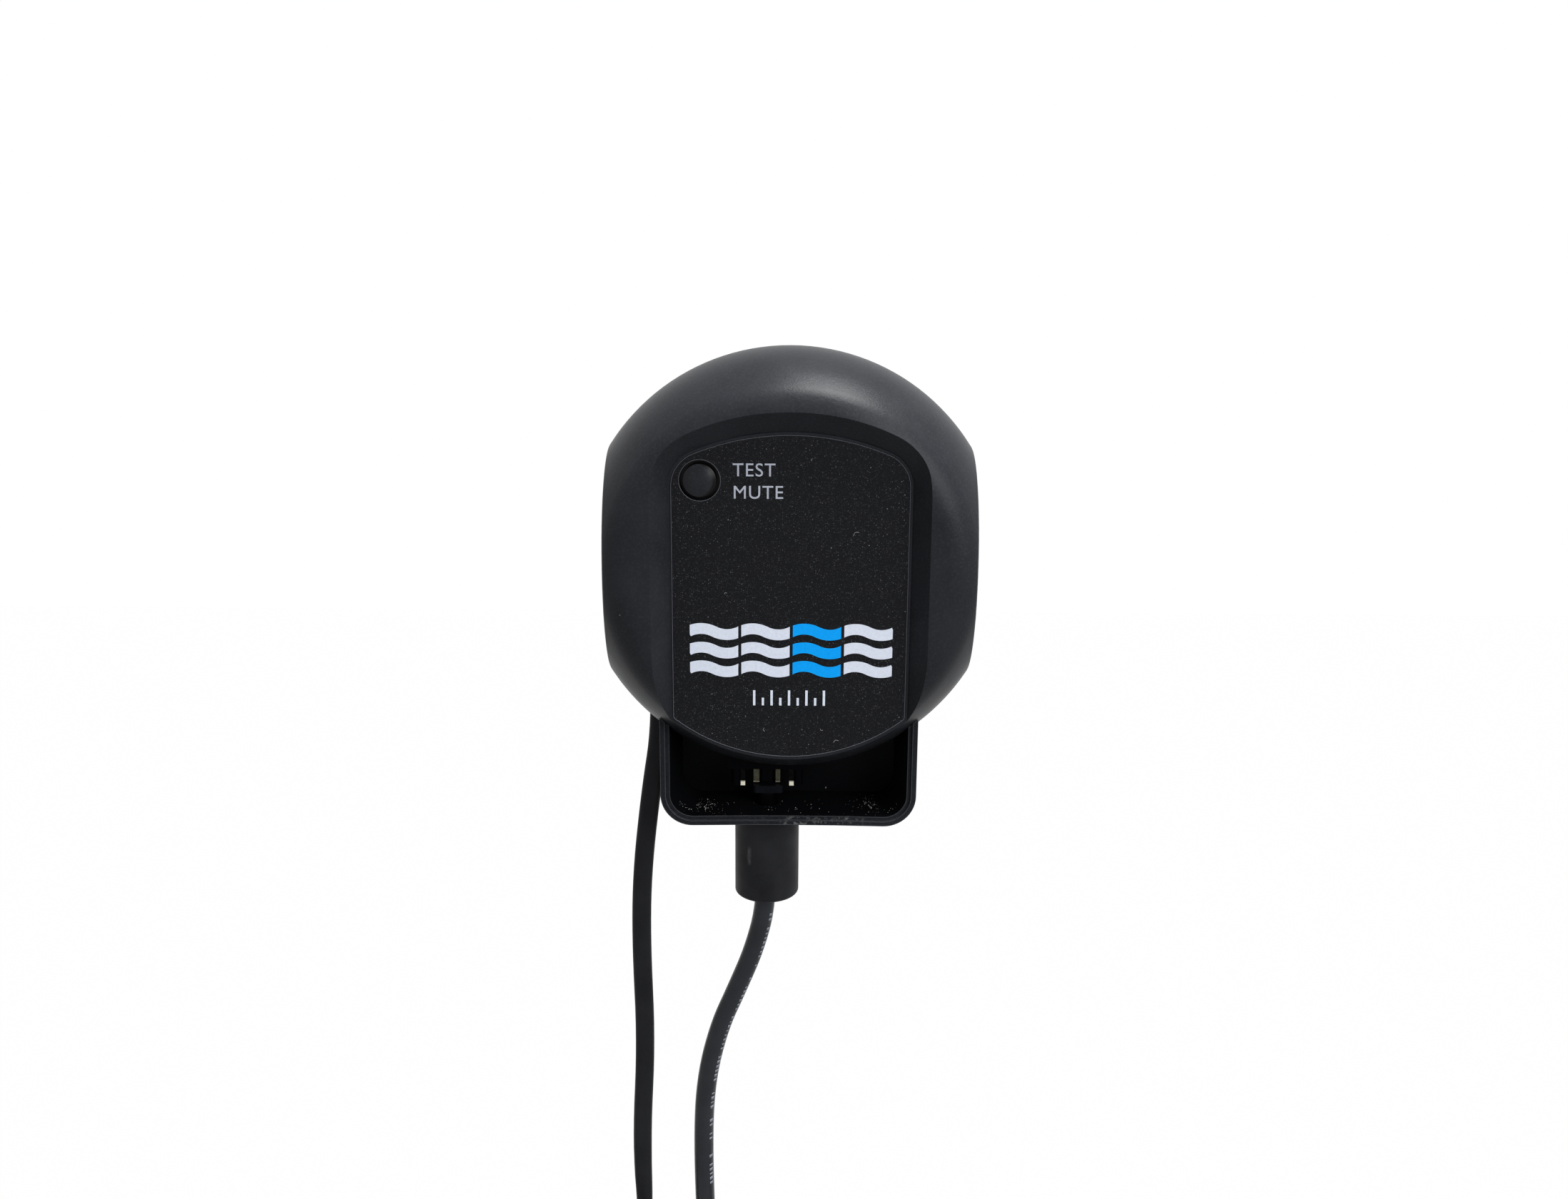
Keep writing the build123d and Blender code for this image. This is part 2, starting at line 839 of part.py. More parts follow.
def main_board():
    board = disc(0, 0, board_radius, board_back_depth, board_front_depth)
    height = board_top - board_bottom
    middle = (board_top + board_bottom) / 2
    board &= block(0, middle, 2 * board_half_width, height, board_back_depth, board_front_depth)
    for x, z in board_screw_places:
        board -= disc(x, z, board_screw_radius + screw_clearance, 0, head_depth)
    return one(board)


def microcontroller():
    x, z = chip_place
    top = board_front_depth + chip_height
    return one(block(x, z, chip_width, chip_width, board_front_depth, top))


def radio_module():
    x, z = radio_place
    width, height = radio_size
    can = block(x, z, width, height, board_back_depth - radio_height, board_back_depth)
    back = can.faces().sort_by(Axis.Y)[-1].edges()
    return one(fillet(back, 0.4))


def smoothing_capacitors():
    cans = Part()
    for x, z in capacitor_places:
        cans += disc(x, z, capacitor_radius, board_back_depth - capacitor_height, board_back_depth)
    return cans


def power_header():
    x, z = header_place
    width, height = header_size
    return one(block(x, z, width, height, board_back_depth - header_height, board_back_depth))


def sounder():
    x, z = sounder_place
    back = board_back_depth - sounder_height
    can = disc(x, z, sounder_radius, back, board_back_depth)
    return one(can - disc(x, z, sounder_port_radius, back - 1, back + 2))


def screw(x, z, head_back, head_radius, head_height, radius, length):
    """A pan-head screw that points out from the wall, with a cross in its head."""
    body = disc(x, z, head_radius, head_back, head_back + head_height)
    outer = body.faces().sort_by(Axis.Y)[-1].edges()
    body = fillet(outer, head_height * 0.35)
    body += disc(x, z, radius, head_back + head_height, head_back + head_height + length)
    cut = head_back + screw_slot_cut
    body -= block(x, z, 1.3 * head_radius, screw_slot_width, head_back - 1, cut)
    body -= block(x, z, screw_slot_width, 1.3 * head_radius, head_back - 1, cut)
    return one(body)


def board_screws():
    screws = []
    for x, z in board_screw_places:
        head_back = board_back_depth - board_screw_head_height
        screws.append(
            screw(
                x,
                z,
                head_back,
                board_screw_head_radius,
                board_screw_head_height,
                board_screw_radius,
                board_screw_length,
            )
        )
    return Compound(children=screws)


def housing_screws():
    screws = []
    for x, z in housing_screw_places:
        screws.append(
            screw(
                x,
                z,
                housing_screw_head_sink,
                housing_screw_head_radius,
                housing_screw_head_height,
                housing_screw_radius,
                housing_screw_length,
            )
        )
    return Compound(children=screws)


# Battery


def cell_rows():
    """The height of each cell, with the way that its tip points."""
    offset = cell_radius + cell_gap / 2
    return ((battery_z + offset, 1), (battery_z - offset, -1))


def along_x(x, depth, z, radius, length):
    """A round bar along X whose left end is at x."""
    base = Plane(origin=at(x, depth, z), x_dir=(0, 1, 0), z_dir=(1, 0, 0))
    return extrude(base * Circle(radius), length)


def battery_holder():
    length = 2 * holder_half_length
    height = 2 * holder_half_height
    tray = block(0, battery_z, length, height, holder_back_depth, board_back_depth)
    inner_length = length - 2 * holder_wall
    inner_height = height - 2 * holder_wall
    floor = board_back_depth - holder_floor
    return one(tray - block(0, battery_z, inner_length, inner_height, holder_back_depth - 1, floor))


def battery_cells():
    cells = Part()
    for z, way in cell_rows():
        cells += along_x(-cell_length / 2, battery_depth, z, cell_radius, cell_length)
        tip = cell_length / 2 if way > 0 else -cell_length / 2 - cell_tip_length
        cells += along_x(tip, battery_depth, z, cell_tip_radius, cell_tip_length)
    return cells


def battery_contacts():
    """A plate with a nose at each end of each cell."""
    contacts = Part()
    end = cell_length / 2 + holder_end_room
    for z, way in cell_rows():
        for side in (-1, 1):
            reach = cell_length / 2 + (cell_tip_length if side == way else 0)
            x = side * (end - contact_thickness / 2)
            half = contact_height / 2
            contacts += block(
                x, z, contact_thickness, contact_height, battery_depth - half, battery_depth + half
            )
            start = reach if side > 0 else -end
            contacts += along_x(start, battery_depth, z, contact_nose_radius, end - reach)
    return contacts


def battery_door():
    door = extrude(door_face(0, 0), back_thickness)
    for side in (-1, 1):
        x = side * (holder_half_length - holder_wall + door_margin)
        door += block(x, battery_z, 2.0, door_latch_width, door_latch_depth, back_thickness)
    right = holder_half_length - holder_wall - 6.0
    for i in range(door_grip_count):
        x = right - i * door_grip_pitch
        door -= block(x, battery_z, door_grip_width, door_grip_length, -1, door_grip_cut)
    return one(door)


# Probe socket, contacts and plug


def contact_bars():
    """The two flat blades and the two square pins, as two lists of solids."""
    blades = []
    for side, width in zip((-1, 1), blade_widths):
        x = socket_x + side * blade_offset
        blades.append(upright_block(x, socket_depth, width, blade_thickness, blade_end, blade_root))
    pins = []
    for side in (-1, 1):
        x = socket_x + side * pin_offset
        pins.append(upright_block(x, socket_depth, pin_width, pin_width, pin_end, blade_root))
    return blades, pins


def sensor_socket():
    middle_depth = (socket_back_depth + socket_front_depth) / 2
    thickness = socket_front_depth - socket_back_depth
    width = 2 * socket_half_width
    body = upright_block(socket_x, middle_depth, width, thickness, socket_bottom, socket_shoulder)
    inner_depth = (socket_back_depth + lip_height + board_back_depth) / 2
    inner_thickness = board_back_depth - socket_back_depth - lip_height
    body += upright_block(socket_x, inner_depth, width - 2, inner_thickness, socket_shoulder, socket_top)
    body += upright_block(socket_x, socket_depth, key_width, key_thickness, key_end, socket_bottom)
    for side in (-1, 1):
        x = socket_x + side * peg_offset
        body += upright(x, socket_depth, peg_radius, peg_end, socket_bottom)
    blades, pins = contact_bars()
    for bar in blades + pins:
        body -= bar
    return one(body)


def contact_blades():
    return Compound(children=contact_bars()[0])


def contact_pins():
    return Compound(children=contact_bars()[1])


def plug_nose():
    x = socket_x + nose_shift
    head = upright_block(x, socket_depth, nose_width, nose_thickness, nose_bottom, nose_top)
    head = fillet(head.edges().filter_by(Axis.Z), nose_round)
    for side, width in zip((-1, 1), blade_widths):
        slot_x = socket_x + side * blade_offset
        opening = width + 2 * nose_slot_margin
        tall = blade_thickness + 2 * nose_slot_margin
        head -= upright_block(slot_x, socket_depth, opening, tall, nose_top - nose_slot_depth, nose_top + 1)
    neck_bottom = pocket_bottom - sleeve_gap - neck_length
    return one(head + upright(socket_x, socket_depth, neck_radius, neck_bottom, nose_bottom))


def plug_sleeve():
    top = pocket_bottom - sleeve_gap
    body = upright(socket_x, socket_depth, sleeve_radius, sleeve_bottom, top)
    faces = body.faces().sort_by(Axis.Z)
    body = fillet(faces[0].edges(), sleeve_edge_round)
    body = fillet(body.faces().sort_by(Axis.Z)[-1].edges(), sleeve_top_round)
    body -= upright(socket_x, socket_depth, neck_radius, top - neck_length, top + 1)
    bore = lead_diameter / 2 + lead_bore_clearance
    body -= upright(socket_x, socket_depth, bore, sleeve_bottom - 1, sleeve_bottom + lead_bore_length)
    mouth = level(socket_x, socket_depth, sleeve_bottom) * Circle(bore + lead_mouth_flare)
    throat = level(socket_x, socket_depth, sleeve_bottom + lead_mouth_length) * Circle(bore)
    return one(body - loft([mouth, throat]))


# Leads


def route_path(name, points, depth):
    """Straight runs joined by tangent arcs, each as large as its two runs allow."""
    spots = [at(x, depth, z) for x, z in points]
    radii = []
    for before, here, after in zip(spots, spots[1:], spots[2:]):
        first = here - before
        second = after - here
        half = math.radians(first.get_angle(second)) / 2
        radii.append(corner_share * min(first.length, second.length) / math.tan(half))
    print(name, "bend radii in mm:", [round(r, 1) for r in radii])
    return FilletPolyline(*spots, radius=radii)


def coil_ring(centre, radius, depth, across, through):
    """A closed ring of a wound bundle, in a plane parallel to the wall."""
    corner = coil_corner_share * min(across, through)
    section = Plane(origin=at(centre[0] + radius, depth, centre[1]), x_dir=(1, 0, 0), z_dir=(0, 0, 1))
    face = section * RectangleRounded(through, across, corner)
    axis = Axis(at(centre[0], depth, centre[1]), (0, 1, 0))
    return revolve(face, axis)


def sensor_bundle(growth):
    across = sensor_coil_columns * lead_diameter + 2 * growth
    through = sensor_coil_layers * lead_diameter + 2 * growth
    return coil_ring(sensor_coil_centre, sensor_coil_radius, sensor_coil_depth, across, through)


def power_bundle(growth):
    across = power_coil_columns * power_lead_width + 2 * growth
    through = power_coil_layers * power_lead_thickness + 2 * growth
    return coil_ring(power_coil_centre, power_coil_radius, power_coil_depth, across, through)


def sensor_lead():
    path = route_path("sensor_lead", sensor_route, socket_depth)
    start = Plane(origin=path @ 0, z_dir=path % 0)
    tube = sweep(start * Circle(lead_diameter / 2), path)
    print("sensor_lead tube:", round(path.length, 1), "mm, volume", round(tube.volume, 1))
    print("section times length:", round(math.pi * lead_diameter**2 / 4 * path.length, 1))
    return one(tube - sensor_bundle(0))


def power_lead():
    path = route_path("power_lead", power_route, power_lead_depth)
    start = Plane(origin=path @ 0, x_dir=(1, 0, 0), z_dir=path % 0)
    oval = SlotOverall(power_lead_width, power_lead_thickness)
    tube = sweep(start * oval, path)
    print("power_lead tube:", round(path.length, 1), "mm, volume", round(tube.volume, 1))
    print("section times length:", round(oval.area * path.length, 1))
    return one(tube - power_bundle(0))


def coil_ties(bundle, centre, depth, angles):
    """Short bands round a coil's bundle."""
    band = bundle(tie_thickness) - bundle(0)
    ties = []
    for angle in angles:
        place = Pos(at(centre[0], depth, centre[1])) * Rot(0, -angle, 0) * Pos(head_radius, 0, 0)
        ties.append(one(band & (place * Box(2 * head_radius, 2 * head_radius, tie_width))))
    return Compound(children=ties)


def hanging_x(centre, radius, side, layers, thickness):
    """How far along X the outermost turns of a coil are, on the side where its lead hangs."""
    return centre[0] + side * (radius + (layers - 1) / 2 * thickness)


def sensor_tail_x():
    return hanging_x(
        sensor_coil_centre, sensor_coil_radius, sensor_coil_side, sensor_coil_layers, lead_diameter
    )


def power_tail_x():
    return hanging_x(
        power_coil_centre, power_coil_radius, power_coil_side, power_coil_layers, power_lead_thickness
    )


def tail(x, depth, coil_z, bundle, section):
    """The last stretch of a lead, which drops straight from its coil."""
    top = Plane(origin=at(x, depth, coil_z - tail_start), x_dir=(1, 0, 0), z_dir=(0, 0, -1))
    return one(extrude(top * section, tail_drop - tail_start) - bundle)


def sensor_lead_tail():
    round_section = Circle(lead_diameter / 2)
    return tail(
        sensor_tail_x(), sensor_coil_depth, sensor_coil_centre[1], sensor_bundle(0), round_section
    )


def power_lead_tail():
    oval = Rot(0, 0, 90) * SlotOverall(power_lead_width, power_lead_thickness)
    return tail(power_tail_x(), power_coil_depth, power_coil_centre[1], power_bundle(0), oval)


# Grommet and wires


def power_grommet():
    body = grommet_room(0) & head_form(-grommet_lip, seam_depth)
    bore = Plane(
        origin=at(power_route[0][0], power_lead_depth, grommet_outer_end),
        x_dir=(1, 0, 0),
        z_dir=(0, 0, 1),
    )
    oval = SlotOverall(
        power_lead_width + 2 * grommet_lead_gap,
        power_lead_thickness + 2 * grommet_lead_gap,
    )
    return one(body - extrude(bore * oval, beyond))


def power_wires():
    """Two thin wires from the end of the power lead to the header on the board."""
    lead_x, lead_end = power_route[0]
    header_x, header_z = header_place
    header_bottom = header_z - header_size[1] / 2
    header_depth = board_back_depth - header_height / 2
    wires = []
    for side in (-1, 1):
        shift = side * wire_spread / 2
        path = FilletPolyline(
            at(lead_x + shift, power_lead_depth, lead_end),
            at(lead_x + shift, power_lead_depth, lead_end + 3.5),
            at(header_x + shift, header_depth, header_bottom - 3.5),
            at(header_x + shift, header_depth, header_bottom),
            radius=wire_bend,
        )
        start = Plane(origin=path @ 0, z_dir=path % 0)
        wires.append(one(sweep(start * Circle(wire_diameter / 2), path)))
    return Compound(children=wires)


# What hangs on the ends of the leads


def probe_place():
    """Where the probe hangs: its x, its depth and the height of its top."""
    return sensor_tail_x(), sensor_coil_depth, sensor_coil_centre[1] - tail_drop


def probe_body():
    x, depth, top = probe_place()
    shoulder = top - probe_collar_length
    bottom = shoulder - probe_length
    body = upright(x, depth, probe_radius, bottom, shoulder)
    body = fillet(body.faces().sort_by(Axis.Z)[-1].edges(), probe_round)
    body = fillet(body.faces().sort_by(Axis.Z)[0].edges(), probe_round / 2)
    body += upright(x, depth, probe_collar_radius, shoulder, top)
    for i in range(probe_vent_count):
        angle = math.radians(360 / probe_vent_count * i)
        out = (math.cos(angle), math.sin(angle), 0)
        mouth = at(x, depth, bottom + probe_vent_rise) + Vector(*out) * (probe_radius - probe_vent_cut)
        body -= extrude(Plane(origin=mouth, z_dir=out) * Circle(probe_vent_radius), 2 * probe_vent_cut)
    for side in (-1, 1):
        pin_x = x + side * probe_pin_spacing / 2
        body -= upright(pin_x, depth, probe_pin_radius, bottom - 1, bottom + probe_pin_root)
    return one(body)


def probe_pins():
    x, depth, top = probe_place()
    bottom = top - probe_collar_length - probe_length
    pins = []
    for side in (-1, 1):
        pin_x = x + side * probe_pin_spacing / 2
        pin = upright(pin_x, depth, probe_pin_radius, bottom - probe_pin_length, bottom + probe_pin_root)
        pins.append(one(fillet(pin.faces().sort_by(Axis.Z)[0].edges(), probe_pin_radius * 0.6)))
    return Compound(children=pins)


def plug_level(z):
    """A level plane on the power plug's axis, with its x out from the wall."""
    origin = at(power_tail_x(), power_coil_depth, z)
    return Plane(origin=origin, x_dir=(0, -1, 0), z_dir=(0, 0, 1))


def plug_block(width, thickness, bottom, top):
    """A block on the plug's axis: its width stands out from the wall."""
    return extrude(plug_level(bottom) * Rectangle(width, thickness), top - bottom)


def plug_heights():
    """The heights of the plug's top, of its grip's top and of its grip's bottom."""
    top = power_coil_centre[1] - tail_drop
    shoulder = top - plug_relief_length
    return top, shoulder, shoulder - plug_grip_length


def power_plug_grip():
    top, shoulder, bottom = plug_heights()
    grip = plug_block(plug_grip_width, plug_grip_thickness, bottom, shoulder)
    grip = fillet(grip.edges().filter_by(Axis.Z), plug_grip_round)
    grip = fillet(grip.faces().sort_by(Axis.Z)[-1].edges(), plug_grip_round * 0.6)
    small = RectangleRounded(plug_relief_end_width, plug_relief_end_thickness, 1.2)
    large = RectangleRounded(plug_relief_root_width, plug_relief_root_thickness, 2.0)
    grip += loft([plug_level(shoulder - 1) * large, plug_level(top) * small])
    return one(grip - plug_block(plug_shell_width, plug_shell_thickness, bottom - 1, bottom + plug_shell_root))


def power_plug_shell():
    top, shoulder, root = plug_heights()
    end = root - plug_shell_length
    closed = root + plug_shell_root
    shell = plug_block(plug_shell_width, plug_shell_thickness, end, closed)
    inner_width = plug_shell_width - 2 * plug_shell_wall
    inner_thickness = plug_shell_thickness - 2 * plug_shell_wall
    shell -= plug_block(inner_width, inner_thickness, end - 1, closed - plug_shell_wall)
    for side in (-1, 1):
        window = plug_level(root - plug_shell_length / 2) * Pos(side * plug_shell_width / 5, 0)
        hole = Rectangle(plug_window_width, 2 * plug_shell_thickness)
        shell -= extrude(window * hole, plug_window_length / 2, both=True)
    return one(shell)


def power_plug_tongue():
    top, shoulder, root = plug_heights()
    inner_thickness = plug_shell_thickness - 2 * plug_shell_wall
    shift = (plug_tongue_thickness - inner_thickness) / 2
    bottom = root - plug_shell_length + plug_tongue_inset
    face = Pos(0, shift) * Rectangle(plug_shell_width - 2 * plug_shell_wall, plug_tongue_thickness)
    return one(extrude(plug_level(bottom) * face, root + plug_shell_root - plug_shell_wall - bottom))


def pieces():
    """Every node's name with its shape."""
    return {
        "front_housing": front_housing(),
        "rear_housing": rear_housing(),
        "housing_gasket": housing_gasket(),
        "face_label": face_label(),
        "printed_waves": printed_waves(),
        "printed_wave_blue": printed_wave_blue(),
        "printed_ticks": printed_ticks(),
        "test_button": test_button(),
        "switch_plunger": switch_plunger(),
        "tact_switch": tact_switch(),
        "main_board": main_board(),
        "microcontroller": microcontroller(),
        "radio_module": radio_module(),
        "smoothing_capacitors": smoothing_capacitors(),
        "power_header": power_header(),
        "sounder": sounder(),
        "board_screws": board_screws(),
        "housing_screws": housing_screws(),
        "battery_holder": battery_holder(),
        "battery_cells": battery_cells(),
        "battery_contacts": battery_contacts(),
        "battery_door": battery_door(),
        "sensor_socket": sensor_socket(),
        "contact_blades": contact_blades(),
        "contact_pins": contact_pins(),
        "plug_nose": plug_nose(),
        "plug_sleeve": plug_sleeve(),
        "sensor_lead": sensor_lead(),
        "sensor_lead_coil": one(sensor_bundle(0)),
        "sensor_coil_ties": coil_ties(
            sensor_bundle, sensor_coil_centre, sensor_coil_depth, sensor_tie_angles
        ),
        "sensor_lead_tail": sensor_lead_tail(),
        "probe_body": probe_body(),
        "probe_pins": probe_pins(),
        "power_grommet": power_grommet(),
        "power_wires": power_wires(),
        "power_lead": power_lead(),
        "power_lead_coil": one(power_bundle(0)),
        "power_coil_ties": coil_ties(
            power_bundle, power_coil_centre, power_coil_depth, power_tie_angles
        ),
        "power_lead_tail": power_lead_tail(),
        "power_plug_grip": power_plug_grip(),
        "power_plug_shell": power_plug_shell(),
        "power_plug_tongue": power_plug_tongue(),
    }


os.makedirs("parts", exist_ok=True)
for name, shape in pieces().items():
    export_step(shape, f"parts/{name}.step")
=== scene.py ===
"""Dresses the wall-hung sump alarm: finishes, leads, small print, dust, light and camera."""

from __future__ import annotations

import logging
import math
from dataclasses import dataclass, field
from enum import Enum
from typing import Sequence

import bmesh
import bpy
from mathutils import Matrix, Vector

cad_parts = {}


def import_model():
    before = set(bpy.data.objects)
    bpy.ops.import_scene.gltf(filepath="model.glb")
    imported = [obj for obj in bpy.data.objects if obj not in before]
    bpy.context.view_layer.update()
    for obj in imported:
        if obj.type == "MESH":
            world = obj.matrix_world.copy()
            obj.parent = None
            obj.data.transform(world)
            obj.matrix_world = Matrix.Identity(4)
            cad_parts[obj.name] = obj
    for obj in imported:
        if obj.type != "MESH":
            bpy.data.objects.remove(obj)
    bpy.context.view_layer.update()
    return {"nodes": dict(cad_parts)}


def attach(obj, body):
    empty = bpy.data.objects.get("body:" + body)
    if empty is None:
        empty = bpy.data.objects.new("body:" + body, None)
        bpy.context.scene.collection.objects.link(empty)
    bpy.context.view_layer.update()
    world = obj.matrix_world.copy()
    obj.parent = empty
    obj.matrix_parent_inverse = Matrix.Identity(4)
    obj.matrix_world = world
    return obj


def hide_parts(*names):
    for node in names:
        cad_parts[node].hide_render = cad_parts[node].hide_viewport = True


LOG = logging.getLogger("sump_alarm")
ALARM_BODY = "alarm"

Socket = bpy.types.NodeSocket
Piece = bpy.types.Object
Pair = tuple[float, float]
Triple = tuple[float, float, float]

WHITE = (1.0, 1.0, 1.0)
DUST_COLOUR = (0.3, 0.3, 0.29)
FULL_TURN = (6.28, 6.28, 6.28)


class Style(Enum):
    """How strongly a moulded finish shows its grain."""

    MATT = 0.6
    SATIN = 0.25


class Winding(Enum):
    """The way that a coil turns, seen from in front of the alarm."""

    CLOCKWISE = -1
    ANTICLOCKWISE = 1


def place(x: float, depth: float, z: float) -> Vector:
    """Turn millimetres in the alarm's frame into a point in metres.

    Args:
        x: Distance to the right of the head's centre.
        depth: Distance out from the wall.
        z: Height over the head's centre.

    Returns:
        The point in metres.
    """
    return Vector((x / 1000, -depth / 1000, z / 1000))


def ease(share: float) -> float:
    """Keep a share within 0 and 1, and let it start and end gently."""
    share = min(1.0, max(0.0, share))
    return share * share * (3 - 2 * share)


def rgba(colour: Sequence[float]) -> tuple[float, float, float, float]:
    """A colour with full alpha."""
    return (colour[0], colour[1], colour[2], 1.0)


def lighter(colour: Sequence[float], gain: float) -> tuple[float, float, float, float]:
    """A colour made lighter or darker by a factor."""
    return rgba([min(1.0, part * gain) for part in colour])


# Node trees


@dataclass
class Graph:
    """A node tree that is filled with short calls."""

    tree: bpy.types.NodeTree

    def add(self, kind: str, inputs: dict | None = None, **settings: object) -> bpy.types.Node:
        """Add a node.

        Args:
            kind: The node's type name.
            inputs: Values or sockets, by the input's name or number.
            **settings: The node's own properties.

        Returns:
            The new node.
        """
        node = self.tree.nodes.new(kind)
        for key, value in settings.items():
            setattr(node, key, value)
        for key, value in (inputs or {}).items():
            socket = node.inputs[key]
            if isinstance(value, Socket):
                self.tree.links.new(value, socket)
            else:
                socket.default_value = value
        return node

    def math(
        self,
        operation: str,
        first: Socket | float,
        second: Socket | float = 0.0,
        clamp: bool = False,
    ) -> Socket:
        """Add a sum of two values and return its result."""
        node = self.add(
            "ShaderNodeMath", {0: first, 1: second}, operation=operation, use_clamp=clamp
        )
        return node.outputs[0]

    def product(self, first: Socket, *factors: Socket | float) -> Socket:
        """Multiply a value by each factor in turn.

        Args:
            first: The value.
            *factors: The factors.

        Returns:
            The result.
        """
        for factor in factors:
            first = self.math("MULTIPLY", first, factor)
        return first

    def span(
        self, value: Socket, low: float, high: float, start: float = 0.0, end: float = 1.0
    ) -> Socket:
        """Map a value from low..high to start..end, clamped."""
        limits = {"From Min": low, "From Max": high, "To Min": start, "To Max": end}
        return self.add("ShaderNodeMapRange", {"Value": value, **limits}).outputs["Result"]

    def step(self, value: Socket, edge: float, soft: float) -> Socket:
        """Nothing below an edge and one above it, softened to both sides."""
        return self.span(value, edge - soft, edge + soft)

    def box(
        self,
        position: Socket,
        low: Sequence[float],
        high: Sequence[float],
        inner: Sequence[float],
        outer: float = 0.0,
    ) -> Socket:
        """One inside a box and nothing outside it.

        Args:
            position: The point.
            low: The box's lower corner.
            high: The box's upper corner.
            inner: How far the soft edge reaches in, along each axis.
            outer: How far it reaches out.

        Returns:
            The mask.
        """
        bands = []
        for value, start, end, soft in zip(self.split(position), low, high, inner):
            bands.append(self.span(value, start - outer, start + soft))
            bands.append(self.span(value, end - soft, end + outer, 1.0, 0.0))
        return self.product(*bands)

    def blend(self, factor: Socket, first: object, second: object) -> Socket:
        """Mix two colours by a factor."""
        inputs = {"Factor": factor, 6: first, 7: second}
        node = self.add("ShaderNodeMix", inputs, data_type="RGBA", clamp_factor=True)
        return node.outputs[2]

    def mottled(self, factor: Socket, colour: Triple, low: float, high: float) -> Socket:
        """Let one colour run between two strengths by a factor."""
        return self.blend(factor, lighter(colour, low), lighter(colour, high))

    def noise(
        self, vector: Socket, scale: float, detail: float = 2.0, roughness: float = 0.5
    ) -> Socket:
        """Add a noise pattern and return its value."""
        inputs = {"Vector": vector, "Scale": scale, "Detail": detail, "Roughness": roughness}
        return self.add("ShaderNodeTexNoise", inputs).outputs["Fac"]

    def cells(self, vector: Socket, scale: float) -> tuple[Socket, Socket]:
        """Add a pattern of cells.

        Args:
            vector: The point.
            scale: How many cells go into a metre.

        Returns:
            The distance from the nearest cell's middle and a number drawn for that cell.
        """
        cells = self.add("ShaderNodeTexVoronoi", {"Vector": vector, "Scale": scale})
        drawn = self.add("ShaderNodeSeparateColor", {"Color": cells.outputs["Color"]})
        return cells.outputs["Distance"], drawn.outputs[0]

    def bump(self, height: Socket, distance: float, strength: float = 1.0) -> Socket:
        """Turn a height into a normal."""
        inputs = {"Height": height, "Distance": distance, "Strength": strength}
        return self.add("ShaderNodeBump", inputs).outputs["Normal"]

    def object_position(self) -> Socket:
        """The point on the piece in metres."""
        return self.add("ShaderNodeTexCoord").outputs["Object"]

    def split(self, vector: Socket) -> Sequence[Socket]:
        """Take a vector apart into its three numbers."""
        return self.add("ShaderNodeSeparateXYZ", {"Vector": vector}).outputs

    def vector(self, operation: str, first: Socket, second: Socket) -> Socket:
        """Add a sum of two vectors and return its result."""
        node = self.add("ShaderNodeVectorMath", {0: first, 1: second}, operation=operation)
        return node.outputs[0]

    def draw(self, low: float, high: float, seed: Socket) -> Socket:
        """Draw a number for each point."""
        inputs = {2: low, 3: high, "Seed": seed}
        return self.add("FunctionNodeRandomValue", inputs, data_type="FLOAT").outputs[1]

    def surface(
        self,
        colour: Socket,
        roughness: Socket | float,
        normal: Socket | None = None,
        specular: float = 0.5,
        metallic: float = 0.0,
    ) -> Socket:
        """Add the surface shader.

        Args:
            colour: The base colour.
            roughness: The roughness.
            normal: The bumped normal, or nothing for a flat surface.
            specular: The strength of the gloss.
            metallic: One for bare metal.

        Returns:
            The shader.
        """
        inputs = {
            "Base Color": colour,
            "Roughness": roughness,
            "Specular IOR Level": specular,
            "Metallic": metallic,
        }
        if normal is not None:
            inputs["Normal"] = normal
        return self.add("ShaderNodeBsdfPrincipled", inputs).outputs[0]


def empty_graph(owner: bpy.types.Material | bpy.types.World) -> Graph:
    """Start a node tree with nothing in it.

    Args:
        owner: The material or world that the tree belongs to.

    Returns:
        The empty tree.
    """
    owner.use_nodes = True
    owner.node_tree.nodes.clear()
    return Graph(owner.node_tree)


# Finishes


@dataclass(frozen=True)
class Finish:
    """A surface finish that becomes one material."""

    name: str

    def material(self) -> bpy.types.Material:
        """Build the material, or return the one already built.

        Returns:
            The material.
        """
        title = self.name + "_finish"
        found = bpy.data.materials.get(title)
        if found:
            return found
        made = bpy.data.materials.new(title)
        graph = empty_graph(made)
        graph.add("ShaderNodeOutputMaterial", {"Surface": self.shade(graph)})
        return made

    def shade(self, graph: Graph) -> Socket:
        """Fill the tree and return its shader."""
        raise NotImplementedError


